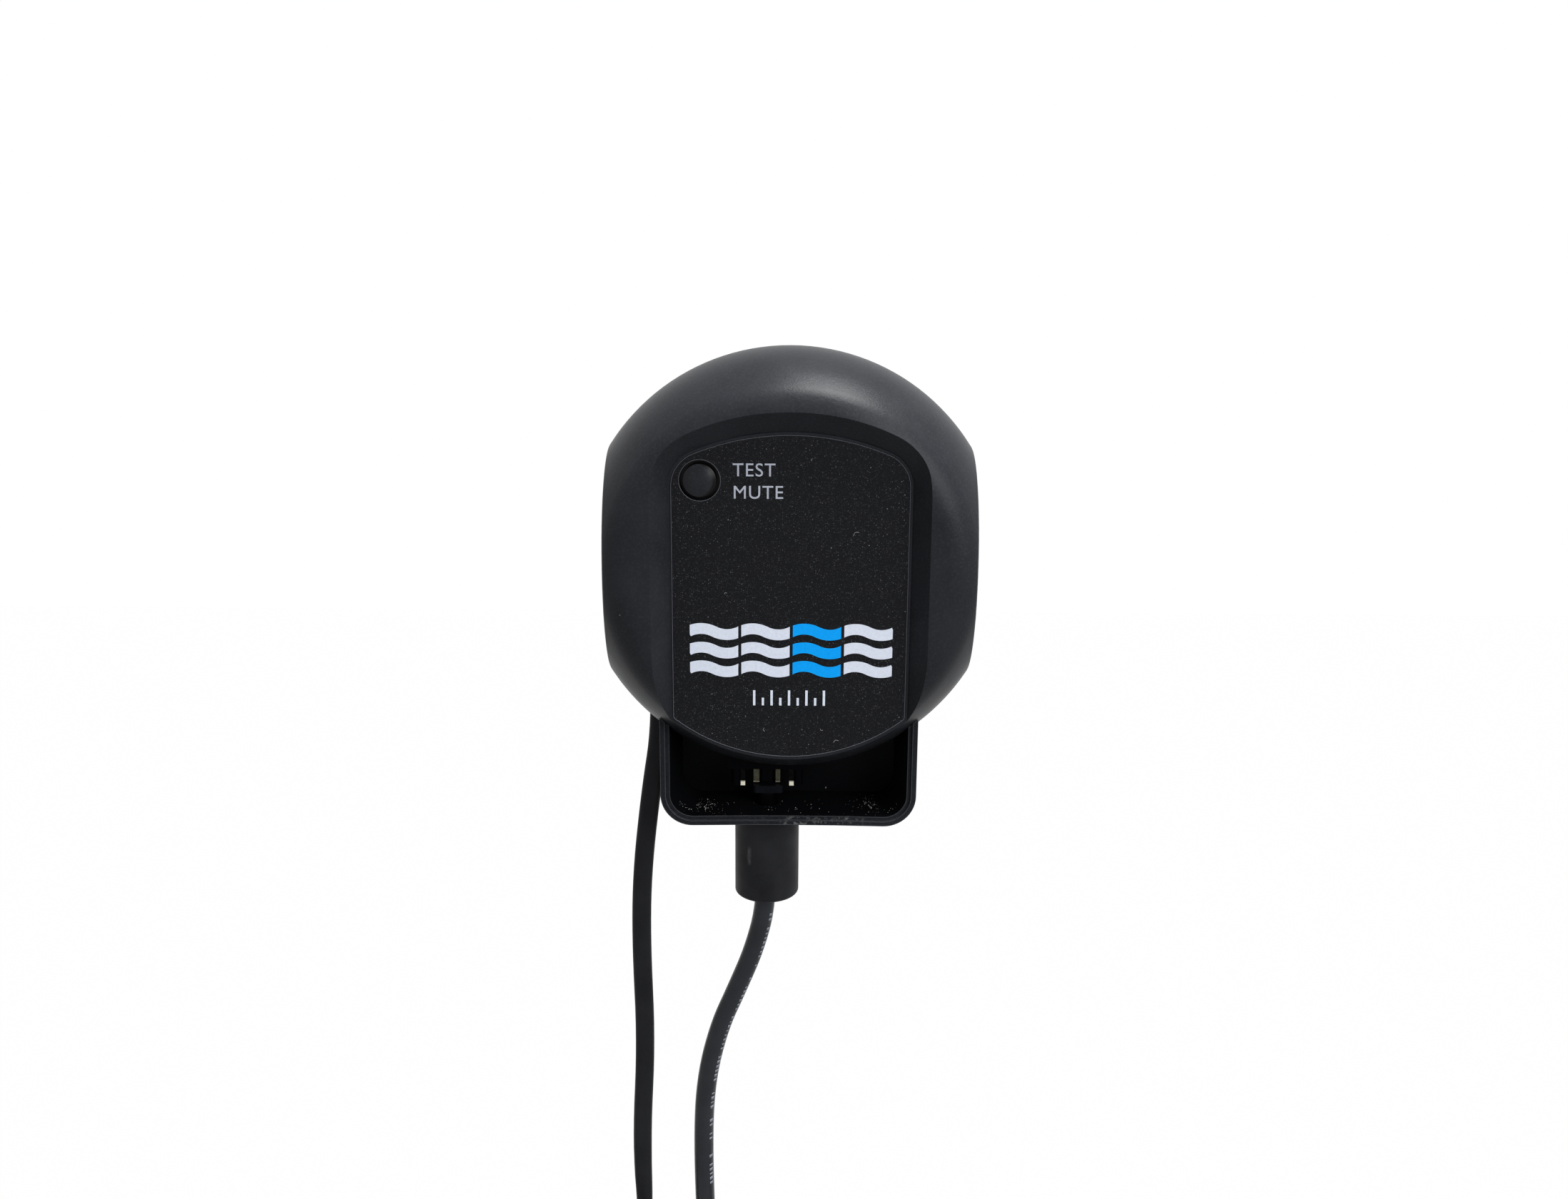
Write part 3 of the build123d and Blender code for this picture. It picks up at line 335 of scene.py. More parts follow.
@dataclass(frozen=True)
class Moulded(Finish):
    """Moulded plastic with a fine spark-eroded grain, faint mottling, dust specks and scuffs."""

    colour: Triple = (0.0125, 0.0135, 0.0162)
    roughness: float = 0.45
    specular: float = 0.09
    style: Style = Style.MATT
    grain: float = 0.0006
    grain_height: float = 0.00006
    mottle: float = 0.2
    mottle_scale: float = 90.0
    fleck_scale: float = 1700.0
    fleck_cover: float = 0.6
    fleck_gain: float = 1.8
    specks: float = 0.0
    speck_scale: float = 420.0
    speck_reach: Pair = (0.06, 0.1)
    dust_cover: float = 0.5
    scuff_low: Triple | None = None
    scuff_high: Triple | None = None
    scuff_edge: float = 0.0004
    scuff_scale: float = 900.0
    scuff_length_scale: float = 160.0
    scuff_roughness: float = 0.2

    def tone(self, graph: Graph, position: Socket, colour: Socket) -> Socket:
        """Change the colour from place to place. A plain moulding keeps it."""
        return colour

    def speckled(self, graph: Graph, position: Socket, colour: Socket) -> Socket:
        """Lay single pale specks of dust over the colour.

        Args:
            graph: The material's tree.
            position: The point on the piece.
            colour: The colour under the dust.

        Returns:
            The colour with the specks.
        """
        distance, drawn = graph.cells(position, self.speck_scale)
        rare = graph.math("GREATER_THAN", drawn, 1 - self.specks)
        near = graph.span(distance, *self.speck_reach, 1.0, 0.0)
        cover = graph.product(rare, near, self.dust_cover)
        return graph.blend(cover, colour, rgba(DUST_COLOUR))

    def wear(self, graph: Graph, position: Socket) -> Socket:
        """How worn each point is, in long ragged patches inside the scuffed box.

        Args:
            graph: The material's tree.
            position: The point on the piece.

        Returns:
            The wear, from nothing to one.
        """
        patch = graph.span(graph.noise(position, self.scuff_scale, 5.0, 0.7), 0.5, 0.66)
        stretch = graph.span(graph.noise(position, self.scuff_length_scale, 2.0), 0.42, 0.6)
        edge = self.scuff_edge
        inside = graph.box(position, self.scuff_low, self.scuff_high, (edge, edge, edge), edge)
        return graph.product(patch, stretch, inside)

    def shade(self, graph: Graph) -> Socket:
        """Grain in the bump, mottling in the colour, and specks and scuffs where asked for.

        Args:
            graph: The material's tree.

        Returns:
            The shader.
        """
        position = graph.object_position()
        fine = graph.noise(position, 1.0 / self.grain, 3.0, 0.6)
        broad = graph.noise(position, self.mottle_scale, 4.0, 0.6)
        shade = graph.span(broad, 0.3, 0.7)
        colour = graph.mottled(shade, self.colour, 1 - self.mottle, 1 + self.mottle)
        fleck = graph.span(graph.noise(position, self.fleck_scale, 2.0, 0.6), 0.48, 0.74)
        cover = graph.product(fleck, self.fleck_cover)
        colour = graph.blend(cover, colour, lighter(self.colour, self.fleck_gain))
        colour = self.tone(graph, position, colour)
        rough = graph.span(broad, 0.25, 0.75, self.roughness - 0.04, self.roughness + 0.05)
        if self.specks:
            colour = self.speckled(graph, position, colour)
        if self.scuff_low and self.scuff_high:
            worn = self.wear(graph, position)
            cover = graph.product(worn, self.dust_cover)
            colour = graph.blend(cover, colour, rgba(DUST_COLOUR))
            rougher = graph.product(worn, self.scuff_roughness)
            rough = graph.math("ADD", rough, rougher, clamp=True)
        normal = graph.bump(fine, self.grain_height, self.style.value)
        return graph.surface(colour, rough, normal, self.specular)


@dataclass(frozen=True)
class ButtonMoulding(Moulded):
    """The button's plastic, with painted shade on the flank where it goes down into its hole."""

    rim_depth: float = 0.02328
    tilt: float = 0.11
    centre_x: float = -0.0202
    soft: float = 0.0001
    painted_shade_gain: float = 0.06

    def tone(self, graph: Graph, position: Socket, colour: Socket) -> Socket:
        """Paint shade on the flank round the domed cap, widest at the right.

        Args:
            graph: The material's tree.
            position: The point on the piece.
            colour: The clean colour.

        Returns:
            The colour with the painted shade.
        """
        parts = graph.split(position)
        across = graph.math("SUBTRACT", parts[0], self.centre_x)
        level = graph.math("ADD", parts[1], graph.product(across, self.tilt))
        # Painted shade: below the rim depth, tilted so it reaches further up at the right, the
        # flank goes dark.
        painted_shade = graph.step(level, -self.rim_depth, self.soft)
        return graph.blend(painted_shade, colour, lighter(self.colour, self.painted_shade_gain))


@dataclass(frozen=True)
class NoseMoulding(Moulded):
    """The plug nose's plastic, with painted shade on the neck under its head."""

    neck_top: float = -0.0566
    soft: float = 0.0001
    painted_shade_gain: float = 0.12

    def tone(self, graph: Graph, position: Socket, colour: Socket) -> Socket:
        """Darken the neck with painted shade."""
        head = graph.step(graph.split(position)[2], self.neck_top, self.soft)
        return graph.blend(head, lighter(self.colour, self.painted_shade_gain), colour)


@dataclass(frozen=True)
class PocketMoulding(Moulded):
    """The rear housing's plastic, with painted shade inside the open pocket."""

    half_width: float = 0.0292
    draft: float = 0.1228
    rim: float = 0.0183
    back: float = 0.001
    floor: float = -0.061
    wall_soft: float = 0.0001
    soft: float = 0.0002
    pocket_shade_gain: float = 0.22

    def tone(self, graph: Graph, position: Socket, colour: Socket) -> Socket:
        """Paint shade on the pocket's inner faces and leave its rim and outside alone.

        Args:
            graph: The material's tree.
            position: The point on the piece.
            colour: The colour outside.

        Returns:
            The colour with the painted shade in the hollow.
        """
        parts = graph.split(position)
        depth = graph.product(parts[1], -1.0)
        across = graph.math("ABSOLUTE", parts[0])
        slope = graph.product(graph.math("SUBTRACT", self.rim, depth), self.draft)
        reach = graph.math("ADD", across, slope)
        low, high = self.half_width - self.wall_soft, self.half_width + self.wall_soft
        # Painted shade: inside the walls, above the floor, off the back and behind the rim, the
        # pocket goes dark.
        hollow = graph.product(
            graph.span(reach, low, high, 1.0, 0.0),
            graph.step(parts[2], self.floor, self.soft),
            graph.step(depth, self.back, self.soft),
            graph.span(depth, self.rim - self.soft, self.rim, 1.0, 0.0),
        )
        return graph.blend(hollow, colour, lighter(self.colour, self.pocket_shade_gain))


@dataclass(frozen=True)
class Flake:
    """One size of sparkle: its scale, its share of the cells, its reach and its brightness."""

    scale: float
    share: float
    reach: float
    gain: float


@dataclass(frozen=True)
class SparkleFilm(Finish):
    """Dark label film with fine pale sparkle of uneven strength."""

    colour: Triple = (0.0034, 0.0037, 0.0048)
    sparkle: Triple = (0.3, 0.31, 0.33)
    roughness: float = 0.55
    specular: float = 0.1
    cloud_scale: float = 60.0
    cloud_gain: Pair = (0.8, 1.2)
    flake_height: float = 0.00001
    flakes: tuple[Flake, ...] = (
        Flake(4200.0, 0.5, 0.5, 0.11),
        Flake(2400.0, 0.3, 0.36, 0.27),
        Flake(1300.0, 0.05, 0.2, 0.7),
    )

    def shade(self, graph: Graph) -> Socket:
        """Two sizes of flake over a dark base, with a few single bright ones.

        Args:
            graph: The material's tree.

        Returns:
            The shader.
        """
        position = graph.object_position()
        broad = graph.noise(position, self.cloud_scale, 3.0, 0.6)
        strength = graph.span(broad, 0.3, 0.7, *self.cloud_gain)
        total = None
        for flake in self.flakes:
            distance, drawn = graph.cells(position, flake.scale)
            picked = graph.span(drawn, 1 - flake.share, 1.0, 0.0, flake.gain)
            near = graph.span(distance, flake.reach * 0.4, flake.reach, 1.0, 0.0)
            glint = graph.product(picked, near)
            total = glint if total is None else graph.math("MAXIMUM", total, glint)
        total = graph.math("MULTIPLY", total, strength, clamp=True)
        colour = graph.blend(total, rgba(self.colour), rgba(self.sparkle))
        normal = graph.bump(total, self.flake_height, 0.5)
        return graph.surface(colour, self.roughness, normal, self.specular)


@dataclass(frozen=True)
class Ink(Finish):
    """Flat printed ink with faint unevenness."""

    colour: Triple = (0.66, 0.70, 0.79)
    roughness: float = 0.6
    specular: float = 0.08
    mottle_scale: float = 1500.0
    mottle: Pair = (0.94, 1.04)

    def shade(self, graph: Graph) -> Socket:
        """A flat colour with a fine mottle, as screen print has.

        Args:
            graph: The material's tree.

        Returns:
            The shader.
        """
        noise = graph.noise(graph.object_position(), self.mottle_scale, 2.0)
        colour = graph.mottled(graph.span(noise, 0.3, 0.7), self.colour, *self.mottle)
        return graph.surface(colour, self.roughness, specular=self.specular)


@dataclass(frozen=True)
class Jacket(Finish):
    """The satin jacket of a lead or of a moulded sleeve, a little cloudy along its length."""

    colour: Triple = (0.016, 0.0166, 0.0185)
    roughness: float = 0.42
    specular: float = 0.1
    cloud: float = 0.25
    cloud_size: float = 0.01
    skin_scale: float = 1800.0
    skin_cover: float = 0.35
    skin_gain: float = 1.8
    skin_height: float = 0.00001
    streak_low: Triple | None = None
    streak_high: Triple | None = None
    streak_scale: float = 400.0
    streak_soft: float = 0.35
    streak_cover: float = 0.6
    streak_colour: Triple = (0.2, 0.2, 0.2)

    def streaked(self, graph: Graph, position: Socket, colour: Socket) -> Socket:
        """Lay one pale streak with soft ends over the colour.

        Args:
            graph: The material's tree.
            position: The point on the piece.
            colour: The colour under the mark.

        Returns:
            The colour with the mark.
        """
        low, high = self.streak_low, self.streak_high
        ragged = graph.span(graph.noise(position, self.streak_scale, 3.0, 0.6), 0.3, 0.7)
        inner = [self.streak_soft * (end - start) for start, end in zip(low, high)]
        mark = graph.product(ragged, graph.box(position, low, high, inner), self.streak_cover)
        return graph.blend(mark, colour, rgba(self.streak_colour))

    def shade(self, graph: Graph) -> Socket:
        """Soft clouds, a fine skin texture and, where asked for, one pale streak.

        Args:
            graph: The material's tree.

        Returns:
            The shader.
        """
        position = graph.object_position()
        cloud = graph.span(graph.noise(position, 1.0 / self.cloud_size, 3.0, 0.55), 0.32, 0.68)
        colour = graph.mottled(cloud, self.colour, 1 - self.cloud, 1 + self.cloud)
        fine = graph.noise(position, self.skin_scale, 3.0, 0.6)
        skin = graph.span(fine, 0.55, 0.8, 0.0, self.skin_cover)
        colour = graph.blend(skin, colour, lighter(self.colour, self.skin_gain))
        rough = graph.span(cloud, 0.0, 1.0, self.roughness + 0.05, self.roughness - 0.04)
        if self.streak_low and self.streak_high:
            colour = self.streaked(graph, position, colour)
        normal = graph.bump(fine, self.skin_height, 0.4)
        return graph.surface(colour, rough, normal, self.specular)


@dataclass(frozen=True)
class Metal(Finish):
    """Plated or brushed metal with fine draw marks."""

    colour: Triple = (0.6, 0.6, 0.6)
    roughness: float = 0.28
    brush: Triple = (1.0, 1.0, 0.06)
    brush_scale: float = 4000.0
    brush_height: float = 0.000006
    spot_scale: float = 500.0
    spot_gain: float = 0.82

    def shade(self, graph: Graph) -> Socket:
        """Marks stretched along one way, in the bump and the roughness.

        Args:
            graph: The material's tree.

        Returns:
            The shader.
        """
        position = graph.object_position()
        stretched = graph.add("ShaderNodeMapping", {"Vector": position, "Scale": self.brush})
        marks = graph.noise(stretched.outputs[0], self.brush_scale, 3.0, 0.6)
        spots = graph.span(graph.noise(position, self.spot_scale, 3.0), 0.35, 0.7)
        colour = graph.mottled(spots, self.colour, 1.0, self.spot_gain)
        rough = graph.span(marks, 0.3, 0.7, self.roughness - 0.06, self.roughness + 0.08)
        normal = graph.bump(marks, self.brush_height, 0.5)
        return graph.surface(colour, rough, normal, metallic=1.0)


@dataclass(frozen=True)
class TippedMetal(Metal):
    """Plated metal that is dull higher up and bright near its lower end."""

    spot_scale: float = 900.0
    spot_gain: float = 0.7
    tip: Triple = (0.78, 0.75, 0.62)
    tip_height: float = -0.054
    blend_height: float = 0.0005

    def shade(self, graph: Graph) -> Socket:
        """The two tones run into each other over a short height.

        Args:
            graph: The material's tree.

        Returns:
            The shader.
        """
        position = graph.object_position()
        height = graph.split(position)[2]
        low = graph.span(height, self.tip_height, self.tip_height + self.blend_height, 1.0, 0.0)
        spots = graph.span(graph.noise(position, self.spot_scale, 3.0), 0.35, 0.7)
        dull = graph.mottled(spots, self.colour, 1.0, self.spot_gain)
        rough = graph.span(spots, 0.0, 1.0, self.roughness - 0.05, self.roughness + 0.1)
        return graph.surface(graph.blend(low, dull, rgba(self.tip)), rough, metallic=1.0)


@dataclass(frozen=True)
class SolderMask(Finish):
    """A circuit board's green mask with faint tracks under it."""

    colour: Triple = (0.012, 0.07, 0.03)
    roughness: float = 0.3
    track_scale: float = 260.0
    tracks_per_cell: float = 5.0
    track_cover: float = 0.6
    track_gain: float = 2.2
    track_edge: Pair = (0.7, 0.75)
    track_height: float = 0.00003

    def shade(self, graph: Graph) -> Socket:
        """Tracks as a grid of cells, lighter than the mask.

        Args:
            graph: The material's tree.

        Returns:
            The shader.
        """
        inputs = {"Vector": graph.object_position(), "Scale": self.track_scale}
        cells = graph.add("ShaderNodeTexVoronoi", inputs, distance="MANHATTAN")
        rings = graph.product(cells.outputs["Distance"], self.tracks_per_cell)
        track = graph.span(graph.math("FRACT", rings), *self.track_edge)
        cover = graph.product(track, self.track_cover)
        colour = graph.mottled(cover, self.colour, 1.0, self.track_gain)
        return graph.surface(colour, self.roughness, graph.bump(track, self.track_height, 0.5))


LEAD_BLACK = (0.0105, 0.0108, 0.0125)

HOUSING = Moulded(
    "housing_black", colour=(0.0115, 0.0125, 0.015), roughness=0.38, specular=0.11, specks=0.02
)
TRAY = PocketMoulding(
    "pocket_black",
    colour=(0.0138, 0.0149, 0.0178),
    specular=0.035,
    specks=0.05,
    scuff_low=(-0.008, -0.0195, -0.0621),
    scuff_high=(0.018, -0.0180, -0.0598),
)
BACK = Moulded("back_black", roughness=0.45)
BUTTON = ButtonMoulding("button_black", specular=0.12, roughness=0.3, style=Style.SATIN)
SOCKET = Moulded(
    "socket_black", colour=(0.0014, 0.0015, 0.0022), roughness=0.4, specular=0.015
)
NOSE = NoseMoulding("nose_black", colour=(0.0045, 0.005, 0.0066), roughness=0.4, specular=0.03)
PART_BLACK = Moulded(
    "component_black", colour=(0.014, 0.014, 0.016), roughness=0.4, style=Style.SATIN
)
NYLON = Moulded("nylon_natural", colour=(0.6, 0.58, 0.5), roughness=0.45, style=Style.SATIN)
TIE = Moulded("tie_black", colour=(0.016, 0.016, 0.017), roughness=0.4, style=Style.SATIN)
CELL = Moulded("cell_jacket", colour=(0.03, 0.05, 0.09), roughness=0.25, style=Style.SATIN)
SEAL = Jacket("seal_rubber", colour=(0.018, 0.018, 0.018), roughness=0.7)
LEAD = Jacket("lead_jacket", colour=(0.0152, 0.0168, 0.0202), specular=0.17, roughness=0.34)
POWER_LEAD = Jacket("power_lead_jacket", colour=LEAD_BLACK, roughness=0.5)
SLEEVE = Jacket(
    "sleeve_jacket",
    colour=LEAD_BLACK,
    roughness=0.5,
    cloud=0.35,
    cloud_size=0.008,
    streak_low=(-0.0099, -0.0200, -0.0737),
    streak_high=(-0.0087, -0.0100, -0.0682),
)
WIRE = Jacket("wire_red", colour=(0.3, 0.012, 0.012), roughness=0.35)
LABEL = SparkleFilm("label_film")
PALE_INK = Ink("print_pale")
BLUE_INK = Ink("print_blue", colour=(0.003, 0.33, 0.86))
LEGEND_INK = Ink("print_legend", colour=(0.42, 0.44, 0.5))
LEAD_PRINT = Ink("lead_print", colour=(0.24, 0.25, 0.29))
# Painted highlights: the pale beads along the label's and the pocket rim's front edges.
EDGE_HIGHLIGHT = Ink("label_edge_highlight", colour=(0.075, 0.078, 0.088))
RIM_HIGHLIGHT = Ink("rim_highlight", colour=(0.05, 0.052, 0.056))
LINT = Ink("lint", colour=DUST_COLOUR)
GRIT = Ink("grit", colour=(0.32, 0.32, 0.31))
STEEL = Metal("plated_steel")
NICKEL = Metal("nickel", colour=(0.66, 0.64, 0.6), roughness=0.22)
BLADE = TippedMetal(
    "blade_metal",
    colour=(0.055, 0.053, 0.036),
    roughness=0.4,
    tip=(0.3, 0.28, 0.2),
    tip_height=-0.0542,
    blend_height=0.0002,
)
PIN = TippedMetal("pin_metal", colour=(0.004, 0.004, 0.004), roughness=0.35, tip_height=-0.0544)
BOARD = SolderMask("board_green")

NODE_FINISHES: dict[str, tuple[Finish, str]] = {
    "front_housing": (HOUSING, "housing_black"),
    "rear_housing": (TRAY, "housing_black"),
    "housing_gasket": (SEAL, "seal_rubber"),
    "face_label": (LABEL, "label_dark"),
    "printed_waves": (PALE_INK, "print_pale"),
    "printed_wave_blue": (BLUE_INK, "print_blue"),
    "printed_ticks": (PALE_INK, "print_pale"),
    "test_button": (BUTTON, "button_black"),
    "switch_plunger": (BUTTON, "button_black"),
    "tact_switch": (PART_BLACK, "chip_black"),
    "main_board": (BOARD, "board_green"),
    "microcontroller": (PART_BLACK, "chip_black"),
    "radio_module": (STEEL, "can_metal"),
    "smoothing_capacitors": (CELL, "capacitor_sleeve"),
    "power_header": (NYLON, "header_white"),
    "sounder": (PART_BLACK, "chip_black"),
    "board_screws": (STEEL, "steel"),
    "housing_screws": (STEEL, "steel"),
    "battery_holder": (PART_BLACK, "chip_black"),
    "battery_cells": (CELL, "cell_jacket"),
    "battery_contacts": (NICKEL, "contact_nickel"),
    "battery_door": (BACK, "housing_black"),
    "sensor_socket": (SOCKET, "housing_black"),
    "contact_blades": (BLADE, "contact_brass"),
    "contact_pins": (PIN, "contact_brass"),
    "plug_nose": (NOSE, "housing_black"),
    "plug_sleeve": (SLEEVE, "lead_jacket"),
    "sensor_coil_ties": (TIE, "tie_black"),
    "probe_body": (HOUSING, "housing_black"),
    "probe_pins": (STEEL, "steel"),
    "power_grommet": (SEAL, "seal_rubber"),
    "power_wires": (WIRE, "wire_red"),
    "power_coil_ties": (TIE, "tie_black"),
    "power_plug_grip": (HOUSING, "housing_black"),
    "power_plug_shell": (NICKEL, "contact_nickel"),
    "power_plug_tongue": (NYLON, "header_white"),
}


# Small steps that every sub-assembly shares


def dress(piece: Piece, finish: Finish) -> None:
    """Give a piece one material."""
    piece.data.materials.clear()
    piece.data.materials.append(finish.material())


def smooth(mesh: bpy.types.Mesh) -> None:
    """Shade every face of a mesh smooth."""
    mesh.polygons.foreach_set("use_smooth", [True] * len(mesh.polygons))


def new_object(name: str, data: bpy.types.ID) -> Piece:
    """Put new data in the scene as an object at the origin.

    Args:
        name: The object's name.
        data: Its mesh, curve, text, lamp or camera.

    Returns:
        The object.
    """
    made = bpy.data.objects.new(name, data)
    bpy.context.scene.collection.objects.link(made)
    return made


def plain_mesh(piece: Piece) -> bpy.types.Mesh:
    """Turn an object, as it is evaluated, into a plain mesh, and remove the object.

    Args:
        piece: A curve, a text or a mesh with its tree.

    Returns:
        The mesh.
    """
    depsgraph = bpy.context.evaluated_depsgraph_get()
    mesh = bpy.data.meshes.new_from_object(piece.evaluated_get(depsgraph))
    piece.modifiers.clear()
    bpy.data.objects.remove(piece)
    return mesh


def hold_to_alarm(piece: Piece) -> Piece:
    """Let a small pale piece ride on the alarm.

    Args:
        piece: The finished piece.

    Returns:
        The same piece.
    """
    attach(piece, ALARM_BODY)
    return piece


# Leads


@dataclass
class Coil:
    """A neat coil of eight turns round a hollow centre, three turns wide and three deep.

    The layout gives each turn's place, as steps outwards and steps away from the wall.
    """

    LAYOUT = ((1, -1), (0, -1), (-1, -1), (-1, 0), (-1, 1), (0, 1), (1, 1), (1, 0))

    centre: Pair
    depth: float
    radius: float
    step_out: float
    step_deep: float
    winding: Winding
    points_per_turn: int = 16
    shift_from: float = 0.55
    shift_share: float = 0.3
    tail_bend: float = 12.0

    def points(self) -> list[Vector]:
        """Control points of all turns, from where the lead comes in to where it hangs out.

        Returns:
            Points in metres. Each turn moves over to the next place in its last part.
        """
        made = []
        start = math.pi if self.winding is Winding.ANTICLOCKWISE else 0.0
        count = self.points_per_turn
        # A smooth line cuts inside its control points, so they lie a little further out.
        outset = 1 / math.cos(math.pi / count) ** 0.5
        for turn, here in enumerate(self.LAYOUT):
            after = self.LAYOUT[min(turn + 1, len(self.LAYOUT) - 1)]
            for step in range(count):
                moved = ease((step / count - self.shift_from) / self.shift_share)
                out = here[0] + (after[0] - here[0]) * moved
                deep = here[1] + (after[1] - here[1]) * moved
                angle = start + self.winding.value * 2 * math.pi * step / count
                radius = (self.radius + out * self.step_out) * outset
                x = self.centre[0] + radius * math.cos(angle)
                z = self.centre[1] + radius * math.sin(angle)
                made.append(place(x, self.depth + deep * self.step_deep, z))
        return made

    def tail(self, end: float) -> list[Vector]:
        """The points on which the lead hangs out of its last turn.

        Args:
            end: The height of the lead's end, in millimetres.

        Returns:
            Points in metres, downwards.
        """
        x = self.centre[0] - self.winding.value * (self.radius + self.step_out)
        heights = (self.centre[1], self.centre[1] - self.tail_bend, end)
        return [place(x, self.depth, z) for z in heights]


def spline_object(name: str, points: Sequence[Vector], bevel: float) -> Piece:
    """Make a smooth curve with the points as its control points.

    Args:
        name: The object's name.
        points: The control points, in metres.
        bevel: The curve's radius, or nothing for a bare line.

    Returns:
        The curve's object.
    """
    data = bpy.data.curves.new(name, "CURVE")
    data.dimensions = "3D"
    spline = data.splines.new("NURBS")
    spline.points.add(len(points) - 1)
    for spot, point in zip(spline.points, points):
        spot.co = (*point, 1.0)
    spline.order_u = 3
    spline.use_endpoint_u = True
    spline.resolution_u = 6
    data.bevel_depth = bevel
    data.bevel_resolution = 5
    data.use_fill_caps = True
    return new_object(name, data)


@dataclass
class Lead:
    """A lead that hangs out of the alarm and is wound into a coil below the view."""

    depth: float
    route: tuple[Pair, ...]
    coil: Coil
    exit_height: float
    length: float = 1.5
    tail_end: float = -244.0

    def control_points(self) -> list[Vector]:
        """All control points from the alarm to the lead's far end."""
        points = [place(x, self.depth, z) for x, z in self.route]
        return points + self.coil.points() + self.coil.tail(self.tail_end)

    def exit(self) -> Triple:
        """Where the lead comes out of what holds it."""
        return tuple(place(self.route[0][0], self.depth, self.exit_height))

    def line(self) -> list[Vector]:
        """Read the smooth line that the control points give.

        Returns:
            Points along the line, close together, in order.
        """
        mesh = plain_mesh(spline_object("bare_line", self.control_points(), 0.0))
        line = [vertex.co.copy() for vertex in mesh.vertices]
        bpy.data.meshes.remove(mesh)
        return line


@dataclass
class ProbeLead(Lead):
    """The round lead from the plug's sleeve to the probe."""

    depth: float = 9.5
    route: tuple[Pair, ...] = (
        (-5.1, -73.5),
        (-5.1, -86.0),
        (-8.0, -98.5),
        (-12.6, -110.1),
        (-17.0, -120.5),
        (-20.4, -135.0),
        (-21.4, -152.0),
        (-20.8, -180.0),
        (-20.0, -206.0),
    )
    coil: Coil = field(
        default_factory=lambda: Coil(
            (11.0, -216.0), 13.9, 26.0, 5.0, 5.0, Winding.ANTICLOCKWISE
        )
    )
    exit_height: float = -83.0
    diameter: float = 0.005

    def build(self) -> Piece:
        """Returns:
            The lead.
        """
        lead = spline_object("probe_lead", self.control_points(), self.diameter / 2)
        dress(lead, LEAD)
        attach(lead, ALARM_BODY)
        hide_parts("sensor_lead", "sensor_lead_coil", "sensor_lead_tail")
        self.exit()
        return lead


@dataclass
class PowerLead(Lead):
    """The oval lead at the left. It turns edge-on before it is wound flat."""

    depth: float = 4.8
    route: tuple[Pair, ...] = (
        (-31.2, -30.5),
        (-31.2, -42.5),
        (-33.7, -57.5),
        (-36.4, -80.0),
        (-37.0, -100.0),
        (-36.2, -128.0),
        (-37.9, -156.0),
        (-37.2, -182.0),
        (-38.0, -206.0),
    )
    coil: Coil = field(
        default_factory=lambda: Coil((-65.8, -216.0), 8.5, 25.0, 2.8, 4.8, Winding.CLOCKWISE)
    )
    exit_height: float = -40.0
    width: float = 0.0048
    thickness: float = 0.0028
    turn_from: float = -0.150
    turn_to: float = -0.205
    sides: int = 20

    def section(self) -> list[Pair]:
        """The oval section: flat faces with half-round edges.

        Returns:
            Points as (across, through) in metres.
        """
        half, edge = (self.width - self.thickness) / 2, self.thickness / 2
        count = self.sides // 2
        made = []
        for side in (1, -1):
            for step in range(count):
                angle = math.pi * (step / (count - 1) - 0.5)
                across = half + edge * math.cos(angle)
                made.append((side * across, side * edge * math.sin(angle)))
        return made

    def mesh(self, line: Sequence[Vector]) -> bpy.types.Mesh:
        """Sweep the section along the line, turned by a quarter on its way to the coil.

        Args:
            line: Points along the lead's middle.

        Returns:
            A closed mesh.
        """
        shape = bmesh.new()
        outline = self.section()
        rings = []
        passed = False
        for index, point in enumerate(line):
            before, after = line[max(0, index - 1)], line[min(len(line) - 1, index + 1)]
            along = (after - before).normalized()
            level = Vector((0, 1, 0)).cross(along).normalized()
            facing = along.cross(level).normalized()
            # Once turned, the lead stays so, also where the coil brings it up again.
            passed = passed or point.z < self.turn_to
            share = (self.turn_from - point.z) / (self.turn_from - self.turn_to)
            angle = ease(1.0 if passed else share) * math.pi / 2
            wide = math.cos(angle) * level + math.sin(angle) * facing
            thin = along.cross(wide)
            rings.append([shape.verts.new(point + wide * a + thin * b) for a, b in outline])
        count = len(outline)
        for first, second in zip(rings, rings[1:]):
            for k in range(count):
                beside = (k + 1) % count
                shape.faces.new((first[k], first[beside], second[beside], second[k]))
        shape.faces.new(list(reversed(rings[0])))
        shape.faces.new(rings[-1])
        bmesh.ops.recalc_face_normals(shape, faces=shape.faces)
        mesh = bpy.data.meshes.new("power_lead_mesh")
        shape.to_mesh(mesh)
        shape.free()
        smooth(mesh)
        return mesh

    def build(self) -> Piece:
        """Returns:
            The lead.
        """
        line = self.line()
        lead = new_object("supply_lead", self.mesh(line))
        dress(lead, POWER_LEAD)
        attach(lead, ALARM_BODY)
        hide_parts("power_lead", "power_lead_coil", "power_lead_tail")
        self.exit()
        return lead


# Geometry Nodes trees


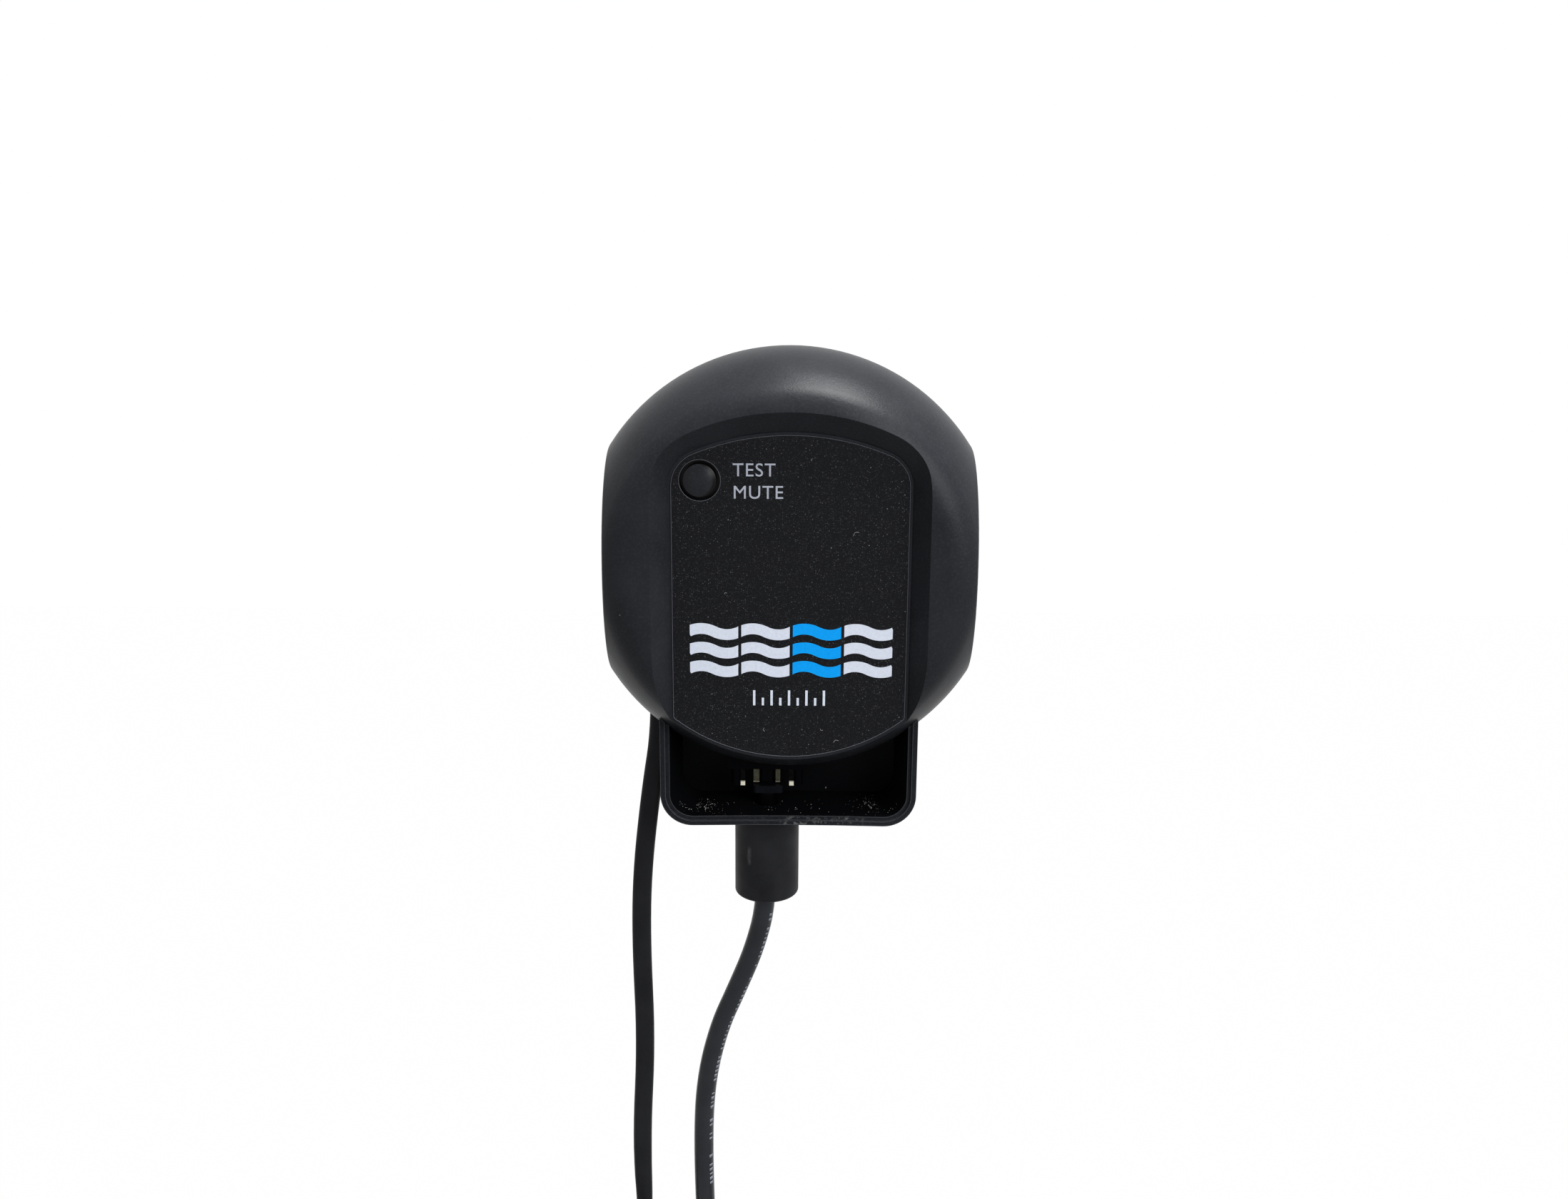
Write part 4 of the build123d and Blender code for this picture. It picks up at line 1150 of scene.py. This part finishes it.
@dataclass
class GeometryTree:
    """A Geometry Nodes tree with named inputs, whose result becomes a plain mesh."""

    name: str
    tree: bpy.types.NodeTree = field(init=False)
    graph: Graph = field(init=False)
    source: bpy.types.Node = field(init=False)

    def __post_init__(self) -> None:
        """Make the empty tree with its geometry in and out."""
        self.tree = bpy.data.node_groups.new(self.name, "GeometryNodeTree")
        for way in ("INPUT", "OUTPUT"):
            self.tree.interface.new_socket(
                "Geometry", in_out=way, socket_type="NodeSocketGeometry"
            )
        self.graph = Graph(self.tree)
        self.source = self.tree.nodes.new("NodeGroupInput")

    def size(self, name: str, kind: str = "NodeSocketFloat") -> Socket:
        """Add a named input and return its socket inside the tree."""
        self.tree.interface.new_socket(name, in_out="INPUT", socket_type=kind)
        return self.source.outputs[name]

    def close(self, instances: Socket, finish: Finish) -> None:
        """Realize the instances, set their material and lead them out of the tree.

        Args:
            instances: What the tree has made.
            finish: Its finish.
        """
        real = self.graph.add("GeometryNodeRealizeInstances", {"Geometry": instances})
        inputs = {"Geometry": real.outputs[0], "Material": finish.material()}
        painted = self.graph.add("GeometryNodeSetMaterial", inputs)
        self.graph.add("NodeGroupOutput", {0: painted.outputs[0]})

    def apply(self, base: Piece, values: dict[str, object], name: str) -> Piece:
        """Run the tree on an object and keep the result as a new plain mesh.

        Args:
            base: The object to run on. It is removed.
            values: The tree's inputs by name.
            name: The new object's name.

        Returns:
            The new object.
        """
        modifier = base.modifiers.new("tree", "NODES")
        modifier.node_group = self.tree
        for item in self.tree.interface.items_tree:
            if item.in_out == "INPUT" and item.name in values:
                modifier[item.identifier] = values[item.name]
        mesh = plain_mesh(base)
        smooth(mesh)
        return new_object(name, mesh)


@dataclass(frozen=True)
class DustPatch:
    """One cloud of grit, in millimetres, with its density in flecks to the square metre."""

    name: str
    profile: Sequence[Pair]
    near: float
    far: float
    density: float
    middle: Pair
    reach: Pair

    def ground(self) -> Piece:
        """The strip that the cloud lies on: its profile, drawn out from near to far.

        Returns:
            The strip's object, with its faces up.
        """
        count = len(self.profile)
        points = [tuple(place(x, self.near, z)) for x, z in self.profile]
        points += [tuple(place(x, self.far, z)) for x, z in self.profile]
        faces = [(i, count + i, count + i + 1, i + 1) for i in range(count - 1)]
        mesh = bpy.data.meshes.new(self.name + "_patch")
        mesh.from_pydata(points, [], faces)
        return new_object(self.name + "_patch", mesh)


@dataclass
class Dust:
    """Pale flecks of grit that lie in the pocket."""

    size: float = 0.00009
    size_range: Pair = (0.35, 1.6)
    seed: int = 7
    floor_z: float = -60.0
    corner_x: float = 21.9
    corner_radius: float = 5.5
    half_width: float = 27.8
    bow: float = 0.4
    lift: float = 0.03
    ragged: float = 0.45
    ragged_scale: float = 700.0
    floor_steps: int = 8
    corner_steps: int = 6

    def scatter(self) -> GeometryTree:
        """Flecks of uneven size on a patch, in a ragged cloud that thins out from its centre.

        Returns:
            The finished tree.
        """
        kit = GeometryTree("dust_tree")
        density = kit.size("Density")
        size = kit.size("Size")
        seed = kit.size("Seed", "NodeSocketInt")
        centre = kit.size("Centre", "NodeSocketVector")
        spread_rate = kit.size("Spread rate", "NodeSocketVector")
        graph = kit.graph
        position = graph.add("GeometryNodeInputPosition").outputs[0]
        offset = graph.vector("SUBTRACT", position, centre)
        offset = graph.vector("MULTIPLY", offset, spread_rate)
        away = graph.add("ShaderNodeVectorMath", {0: offset}, operation="LENGTH")
        noise = graph.noise(position, self.ragged_scale, 3.0, 0.6)
        ragged = graph.span(noise, 0.35, 0.65, -self.ragged, self.ragged)
        fading = graph.math("SUBTRACT", 1.0, away.outputs["Value"])
        cover = graph.math("ADD", fading, ragged)
        kept = graph.math("LESS_THAN", graph.draw(0.0, 1.0, seed), cover)
        spread = graph.add(
            "GeometryNodeDistributePointsOnFaces",
            {"Mesh": kit.source.outputs["Geometry"], "Density": density, "Seed": seed},
        )
        fleck = graph.add("GeometryNodeMeshIcoSphere", {"Radius": size, "Subdivisions": 1})
        turn = graph.add(
            "FunctionNodeRandomValue",
            {0: (0.0, 0.0, 0.0), 1: FULL_TURN, "Seed": seed},
            data_type="FLOAT_VECTOR",
        )
        placed = graph.add(
            "GeometryNodeInstanceOnPoints",
            {
                "Points": spread.outputs["Points"],
                "Instance": fleck.outputs["Mesh"],
                "Selection": kept,
                "Rotation": turn.outputs[0],
                "Scale": graph.draw(*self.size_range, seed),
            },
        )
        kit.close(placed.outputs[0], GRIT)
        return kit

    def ground(self, first: float, last: float) -> list[Pair]:
        """The pocket's gently bowed floor between two places across it.

        Args:
            first: The first place, in millimetres from the middle.
            last: The last place.

        Returns:
            Points as (x, z) in millimetres.
        """
        made = []
        for step in range(self.floor_steps + 1):
            x = first + (last - first) * step / self.floor_steps
            rise = self.bow * (1 - (x / self.half_width) ** 2) + self.lift
            made.append((x, self.floor_z + rise))
        return made

    def corner(self, side: int, last: float) -> list[Pair]:
        """The inside of one rounded lower corner.

        Args:
            side: Minus one at the left and one at the right.
            last: Where the profile ends on the round, in degrees from straight down.

        Returns:
            Points as (x, z) in millimetres.
        """
        made = []
        radius = self.corner_radius - self.lift
        for step in range(self.corner_steps + 1):
            angle = math.radians(last * step / self.corner_steps)
            x = self.corner_x + radius * math.sin(angle)
            z = self.floor_z + self.corner_radius - radius * math.cos(angle)
            made.append((side * x, z))
        return made

    def patches(self) -> tuple[DustPatch, ...]:
        """Where the grit lies: thick in the two lower corners and thin over the floor.

        Returns:
            The patches, in the order of their seeds.
        """
        left, right = self.ground(-22.5, -14.0), self.ground(14.0, 22.5)
        left_round, right_round = self.corner(-1, 75.0), self.corner(1, 70.0)
        middle = self.ground(-16.0, 16.0)
        return (
            DustPatch("left_floor_dust", left, 3.0, 17.6, 3.4e6, (-20.3, 11.5), (4.6, 6.5)),
            DustPatch("left_corner_dust", left_round, 4.0, 17.6, 1.3e6, (-22.5, 12.0), (6.0, 7.0)),
            DustPatch("right_floor_dust", right, 3.0, 17.6, 1.6e6, (20.5, 10.0), (6.0, 8.0)),
            DustPatch("right_corner_dust", right_round, 4.0, 17.6, 1.2e6, (23.0, 12.0), (6.0, 7.0)),
            DustPatch("floor_dust", middle, 3.0, 17.8, 2.2e5, (0.5, 14.0), (17.0, 9.0)),
        )

    def build(self) -> list[Piece]:
        """Scatter the flecks on the pocket's floor and in its two lower corners.

        Returns:
            One piece for each patch.
        """
        kit = self.scatter()
        made = []
        for index, patch in enumerate(self.patches()):
            values = {
                "Density": patch.density,
                "Size": self.size,
                "Seed": self.seed + index,
                "Centre": place(*patch.middle, self.floor_z),
                "Spread rate": (1000 / patch.reach[0], 1000 / patch.reach[1], 0.0),
            }
            made.append(hold_to_alarm(kit.apply(patch.ground(), values, patch.name)))
        return made


@dataclass
class LeadMarks:
    """Tiny pale marks in a row along the probe lead's right side, as cable print looks."""

    OUTWARD = "outward"

    count: int = 62
    mark: Triple = (0.0011, 0.0009, 0.00008)
    shortest: float = 0.3
    share_kept: float = 0.8
    side: float = 50.0
    from_z: float = -0.0862
    to_z: float = -0.168
    seed: int = 3

    def tree(self) -> GeometryTree:
        """Boxes along a line, each a random share of its full length.

        Returns:
            The finished tree.
        """
        kit = GeometryTree("lead_marks_tree")
        count = kit.size("Count", "NodeSocketInt")
        seed = kit.size("Seed", "NodeSocketInt")
        wide = kit.size("Width")
        tall = kit.size("Length")
        deep = kit.size("Depth")
        graph = kit.graph
        line = graph.add("GeometryNodeMeshToCurve", {"Mesh": kit.source.outputs["Geometry"]})
        inputs = {"Curve": line.outputs[0], "Count": count}
        points = graph.add("GeometryNodeCurveToPoints", inputs, mode="COUNT")
        outward = graph.add(
            "GeometryNodeInputNamedAttribute", {"Name": self.OUTWARD}, data_type="FLOAT_VECTOR"
        )
        upright = graph.add(
            "FunctionNodeAlignRotationToVector",
            {"Vector": points.outputs["Tangent"]},
            axis="Y",
        )
        facing = graph.add(
            "FunctionNodeAlignRotationToVector",
            {"Rotation": upright.outputs[0], "Vector": outward.outputs["Attribute"]},
            axis="Z",
            pivot_axis="Y",
        )
        size = graph.add("ShaderNodeCombineXYZ", {"X": wide, "Y": tall, "Z": deep})
        box = graph.add("GeometryNodeMeshCube", {"Size": size.outputs[0]})
        share = graph.draw(self.shortest, 1.0, seed)
        scale = graph.add("ShaderNodeCombineXYZ", {"X": 1.0, "Y": share, "Z": 1.0})
        kept = graph.add(
            "FunctionNodeRandomValue",
            {"Probability": self.share_kept, "Seed": seed},
            data_type="BOOLEAN",
        )
        placed = graph.add(
            "GeometryNodeInstanceOnPoints",
            {
                "Points": points.outputs["Points"],
                "Instance": box.outputs["Mesh"],
                "Selection": kept.outputs[3],
                "Rotation": facing.outputs[0],
                "Scale": scale.outputs[0],
            },
        )
        kit.close(placed.outputs[0], LEAD_PRINT)
        return kit

    def base(self, lead: ProbeLead) -> Piece:
        """The line on the lead's surface that the marks follow.

        Args:
            lead: The lead that carries the marks.

        Returns:
            A bare line with the way out of the lead at each of its points.
        """
        line = lead.line()
        turn = math.radians(self.side)
        places = []
        facing = []
        for before, here, after in zip(line, line[1:], line[2:]):
            if here.z > self.from_z:
                continue
            if here.z < self.to_z:
                break
            along = (after - before).normalized()
            right = along.cross(Vector((0, 1, 0))).normalized()
            if right.x < 0:
                right = -right
            out = math.sin(turn) * right - math.cos(turn) * Vector((0, 1, 0))
            places.append(tuple(here + lead.diameter / 2 * out))
            facing.extend(out)
        mesh = bpy.data.meshes.new("lead_marks_line")
        mesh.from_pydata(places, [(i, i + 1) for i in range(len(places) - 1)], [])
        outward = mesh.attributes.new(self.OUTWARD, "FLOAT_VECTOR", "POINT")
        outward.data.foreach_set("vector", facing)
        return new_object("lead_marks_line", mesh)

    def build(self, lead: ProbeLead) -> Piece:
        """Lay the marks on the lead.

        Args:
            lead: The lead that carries them.

        Returns:
            The marks as one mesh.
        """
        width, length, depth = self.mark
        values = {
            "Count": self.count,
            "Seed": self.seed,
            "Width": width,
            "Length": length,
            "Depth": depth,
        }
        return hold_to_alarm(self.tree().apply(self.base(lead), values, "lead_marks"))


@dataclass
class Legend:
    """Two short words beside the button, each with its left end and its foot."""

    lines: tuple[tuple[str, float, float], ...] = (("TEST", -12.9, 22.6), ("MUTE", -12.9, 17.6))
    height: float = 0.0042
    thickness: float = 0.00005
    spacing: float = 1.08
    front: float = 23.2

    def build(self) -> list[Piece]:
        """Make each word as a thin mesh that lies on the label.

        Returns:
            The words.
        """
        made = []
        upright = Matrix.Rotation(math.pi / 2, 4, "X")
        for text, left, foot in self.lines:
            name = "legend_" + text.lower()
            data = bpy.data.curves.new(name, "FONT")
            data.body = text
            data.size = self.height
            data.extrude = self.thickness
            data.space_character = self.spacing
            data.resolution_u = 6
            mesh = plain_mesh(new_object("legend_text", data))
            mesh.transform(Matrix.Translation(place(left, self.front, foot)) @ upright)
            word = new_object(name, mesh)
            dress(word, LEGEND_INK)
            made.append(hold_to_alarm(word))
        return made


@dataclass
class BrightEdge:
    """A painted highlight: a thin bright line along a solid's sharp front edges, where they catch
    the light.
    """

    name: str
    front: float
    finish: Finish
    radius: float = 0.00009
    sides: int = 6
    sharp_angle: float = 0.9
    merge_distance: float = 0.000005

    def tree(self) -> GeometryTree:
        """Sweep a small circle along the sharp edges that lie further out than the front size.

        Returns:
            The finished tree.
        """
        kit = GeometryTree(self.name + "_tree")
        radius = kit.size("Radius")
        sides = kit.size("Sides", "NodeSocketInt")
        front = kit.size("Front")
        graph = kit.graph
        merged = graph.add(
            "GeometryNodeMergeByDistance",
            {"Geometry": kit.source.outputs["Geometry"], "Distance": self.merge_distance},
        )
        angle = graph.add("GeometryNodeInputMeshEdgeAngle").outputs["Unsigned Angle"]
        spot = graph.split(graph.add("GeometryNodeInputPosition").outputs[0])
        sharp = graph.add(
            "FunctionNodeCompare", {0: angle, 1: self.sharp_angle}, operation="GREATER_THAN"
        )
        ahead = graph.add("FunctionNodeCompare", {0: spot[1], 1: front}, operation="LESS_THAN")
        both = graph.add("FunctionNodeBooleanMath", {0: sharp.outputs[0], 1: ahead.outputs[0]})
        inputs = {"Mesh": merged.outputs[0], "Selection": both.outputs[0]}
        line = graph.add("GeometryNodeMeshToCurve", inputs)
        circle = graph.add(
            "GeometryNodeCurvePrimitiveCircle", {"Resolution": sides, "Radius": radius}
        )
        inputs = {"Curve": line.outputs[0], "Profile Curve": circle.outputs["Curve"]}
        bead = graph.add("GeometryNodeCurveToMesh", inputs)
        kit.close(bead.outputs[0], self.finish)
        return kit

    def build(self, solid: Piece) -> Piece:
        """Lay the bead on the solid.

        Args:
            solid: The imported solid, which is only copied.

        Returns:
            The bead as one mesh.
        """
        base = new_object(self.name + "_copy", solid.data.copy())
        values = {"Radius": self.radius, "Sides": self.sides, "Front": -self.front / 1000}
        return hold_to_alarm(self.tree().apply(base, values, self.name))


@dataclass
class Lint:
    """A few tiny fibres that lie on the label, as (x, z, half length, angle in degrees)."""

    BEND = ((-1.0, -0.35), (-0.4, 0.25), (0.3, 0.3), (1.0, -0.4))

    radius: float = 0.00004
    depth: float = 23.2
    fibres: tuple[tuple[float, float, float, float], ...] = (
        (14.6, 9.9, 0.75, 35.0),
        (7.5, -36.4, 0.35, 150.0),
        (10.9, -39.0, 0.6, 20.0),
        (-5.8, -36.4, 0.45, 100.0),
        (4.6, 26.4, 0.3, 60.0),
        (-14.5, -4.0, 0.3, 10.0),
    )

    def build(self) -> list[Piece]:
        """Make each fibre a short bent line turned by its own angle.

        Returns:
            The fibres.
        """
        made = []
        for index, (x, z, half, angle) in enumerate(self.fibres):
            cosine, sine = math.cos(math.radians(angle)), math.sin(math.radians(angle))
            points = []
            for along, across in self.BEND:
                a, b = along * half, across * half
                points.append(
                    place(x + a * cosine - b * sine, self.depth, z + a * sine + b * cosine)
                )
            line = spline_object("fibre_line", points, self.radius)
            line.data.bevel_resolution = 1
            fibre = new_object(f"fibre_{index + 1}", plain_mesh(line))
            dress(fibre, LINT)
            made.append(hold_to_alarm(fibre))
        return made


# Room


@dataclass(frozen=True)
class Lamp:
    """A square area lamp, with the point that it faces."""

    name: str
    spot: Triple
    aim: Triple
    size: float
    watts: float
    colour: Triple = WHITE

    def build(self) -> Piece:
        """Hang the lamp and turn it to its aim.

        Returns:
            The lamp.
        """
        data = bpy.data.lights.new(self.name, "AREA")
        data.size = self.size
        data.energy = self.watts
        data.color = self.colour
        made = new_object(self.name, data)
        made.location = self.spot
        turn = (Vector(self.aim) - Vector(self.spot)).to_track_quat("-Z", "Y")
        made.rotation_euler = turn.to_euler()
        return made


@dataclass
class Studio:
    """The camera, the lamps, the world and the floor."""

    camera_place: Triple = (-0.0013, -0.3363, 0.0715)
    pitch: float = 13.8
    roll: float = 0.37
    focal_pixels: float = 2000.0
    image_width: float = 2197.0
    sensor: float = 36.0
    lamps: tuple[Lamp, ...] = (
        Lamp("overhead", (0.16, -0.05, 0.60), (0.0, -0.01, 0.0), 0.3, 8.6),
        Lamp("front_right", (0.55, -0.6, 0.35), (0.0, 0.0, -0.02), 0.5, 6.0, (0.97, 0.98, 1.0)),
    )
    front_tone: Triple = (0.95, 0.97, 1.0)
    behind_tone: Triple = (1.0, 0.9, 0.74)
    ambient: float = 0.5
    backdrop: float = 1.7
    behind: Pair = (0.35, 0.95)
    floor_height: float = -0.42
    floor_half: float = 1.6
    floor_paint: float = 0.16
    floor_glow: float = 0.995

    def camera(self) -> Piece:
        """The photograph's camera, from its fitted place and focal length.

        Returns:
            The camera.
        """
        data = bpy.data.cameras.new("camera")
        data.sensor_width = self.sensor
        data.lens = self.focal_pixels * self.sensor / self.image_width
        data.clip_start = 0.01
        made = new_object("camera", data)
        turn = Matrix.Rotation(math.radians(90 - self.pitch), 4, "X")
        turn = turn @ Matrix.Rotation(math.radians(self.roll), 4, "Z")
        made.matrix_world = Matrix.Translation(Vector(self.camera_place)) @ turn
        bpy.context.scene.camera = made
        return made

    def seen(self, graph: Graph) -> Socket:
        """Tell the rays that show the background: straight, mirrored or through glass.

        Args:
            graph: The tree to add to.

        Returns:
            One for such a ray and nothing for others.
        """
        path = graph.add("ShaderNodeLightPath").outputs
        both = graph.math("MAXIMUM", path["Is Camera Ray"], path["Is Glossy Ray"])
        return graph.math("MAXIMUM", both, path["Is Transmission Ray"])

    def world(self) -> None:
        """White where it is seen, and a plain level where it lights, stronger from behind."""
        made = bpy.data.worlds.new("studio")
        graph = empty_graph(made)
        way = graph.split(graph.add("ShaderNodeTexCoord").outputs["Generated"])
        tone = graph.blend(
            graph.span(way[1], *self.behind), rgba(self.front_tone), rgba(self.behind_tone)
        )
        level = graph.span(way[1], *self.behind, self.ambient, self.backdrop)
        light = graph.add("ShaderNodeBackground", {"Color": tone, "Strength": level})
        white = graph.add("ShaderNodeBackground", {"Color": rgba(WHITE), "Strength": 1.0})
        mixed = graph.add(
            "ShaderNodeMixShader", {0: self.seen(graph), 1: light.outputs[0], 2: white.outputs[0]}
        )
        graph.add("ShaderNodeOutputWorld", {"Surface": mixed.outputs[0]})
        bpy.context.scene.world = made

    def floor(self) -> Piece:
        """A pale floor far under the hanging alarm, clear from below.

        Returns:
            The floor.
        """
        mesh = bpy.data.meshes.new("floor")
        half, z = self.floor_half, self.floor_height
        corners = [(-half, -half, z), (half, -half, z), (half, half, z), (-half, half, z)]
        mesh.from_pydata(corners, [], [(0, 1, 2, 3)])
        made = new_object("floor", mesh)
        material = bpy.data.materials.new("floor_pale")
        graph = empty_graph(material)
        paint = graph.add("ShaderNodeBsdfDiffuse", {"Color": rgba([self.floor_paint] * 3)})
        glow = graph.add("ShaderNodeEmission", {"Color": rgba(WHITE), "Strength": 1.0})
        share = graph.product(self.seen(graph), self.floor_glow)
        front = graph.add(
            "ShaderNodeMixShader", {0: share, 1: paint.outputs[0], 2: glow.outputs[0]}
        )
        clear = graph.add("ShaderNodeBsdfTransparent")
        back = graph.add("ShaderNodeNewGeometry").outputs["Backfacing"]
        both = graph.add(
            "ShaderNodeMixShader", {0: back, 1: front.outputs[0], 2: clear.outputs[0]}
        )
        graph.add("ShaderNodeOutputMaterial", {"Surface": both.outputs[0]})
        mesh.materials.append(material)
        return made

    def build(self) -> None:
        """Set up the whole room."""
        self.camera()
        for lamp in self.lamps:
            lamp.build()
        self.world()
        self.floor()
        bpy.context.scene.view_settings.view_transform = "Standard"


def dress_nodes(nodes: dict[str, Piece]) -> int:
    """Give each modelled solid that stays in view its finish.

    Args:
        nodes: The frame's objects by name.

    Returns:
        How many were dressed.
    """
    for name, (finish, slot) in NODE_FINISHES.items():
        dress(nodes[name], finish)
    return len(NODE_FINISHES)


def main() -> None:
    """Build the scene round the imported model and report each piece."""
    logging.basicConfig(level=logging.INFO, format="%(name)s: %(message)s")
    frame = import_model()
    LOG.info("dressed %d solids", dress_nodes(frame["nodes"]))
    probe_lead = ProbeLead()
    LOG.info("probe lead: %s", probe_lead.build().name)
    LOG.info("power lead: %s", PowerLead().build().name)
    LOG.info("lead marks: %s", LeadMarks().build(probe_lead).name)
    LOG.info("legend: %d words", len(Legend().build()))
    # Painted highlights along the label's and the pocket rim's front edges.
    label_edge_highlight = BrightEdge("label_edge_highlight", 23.0, EDGE_HIGHLIGHT)
    LOG.info("label edge: %s", label_edge_highlight.build(frame["nodes"]["face_label"]).name)
    rim_highlight = BrightEdge("pocket_rim_highlight", 18.4, RIM_HIGHLIGHT, radius=0.00008)
    LOG.info("pocket rim: %s", rim_highlight.build(frame["nodes"]["rear_housing"]).name)
    LOG.info("lint: %d fibres", len(Lint().build()))
    LOG.info("dust: %d patches", len(Dust().build()))
    Studio().build()


if __name__ == "__main__":
    main()
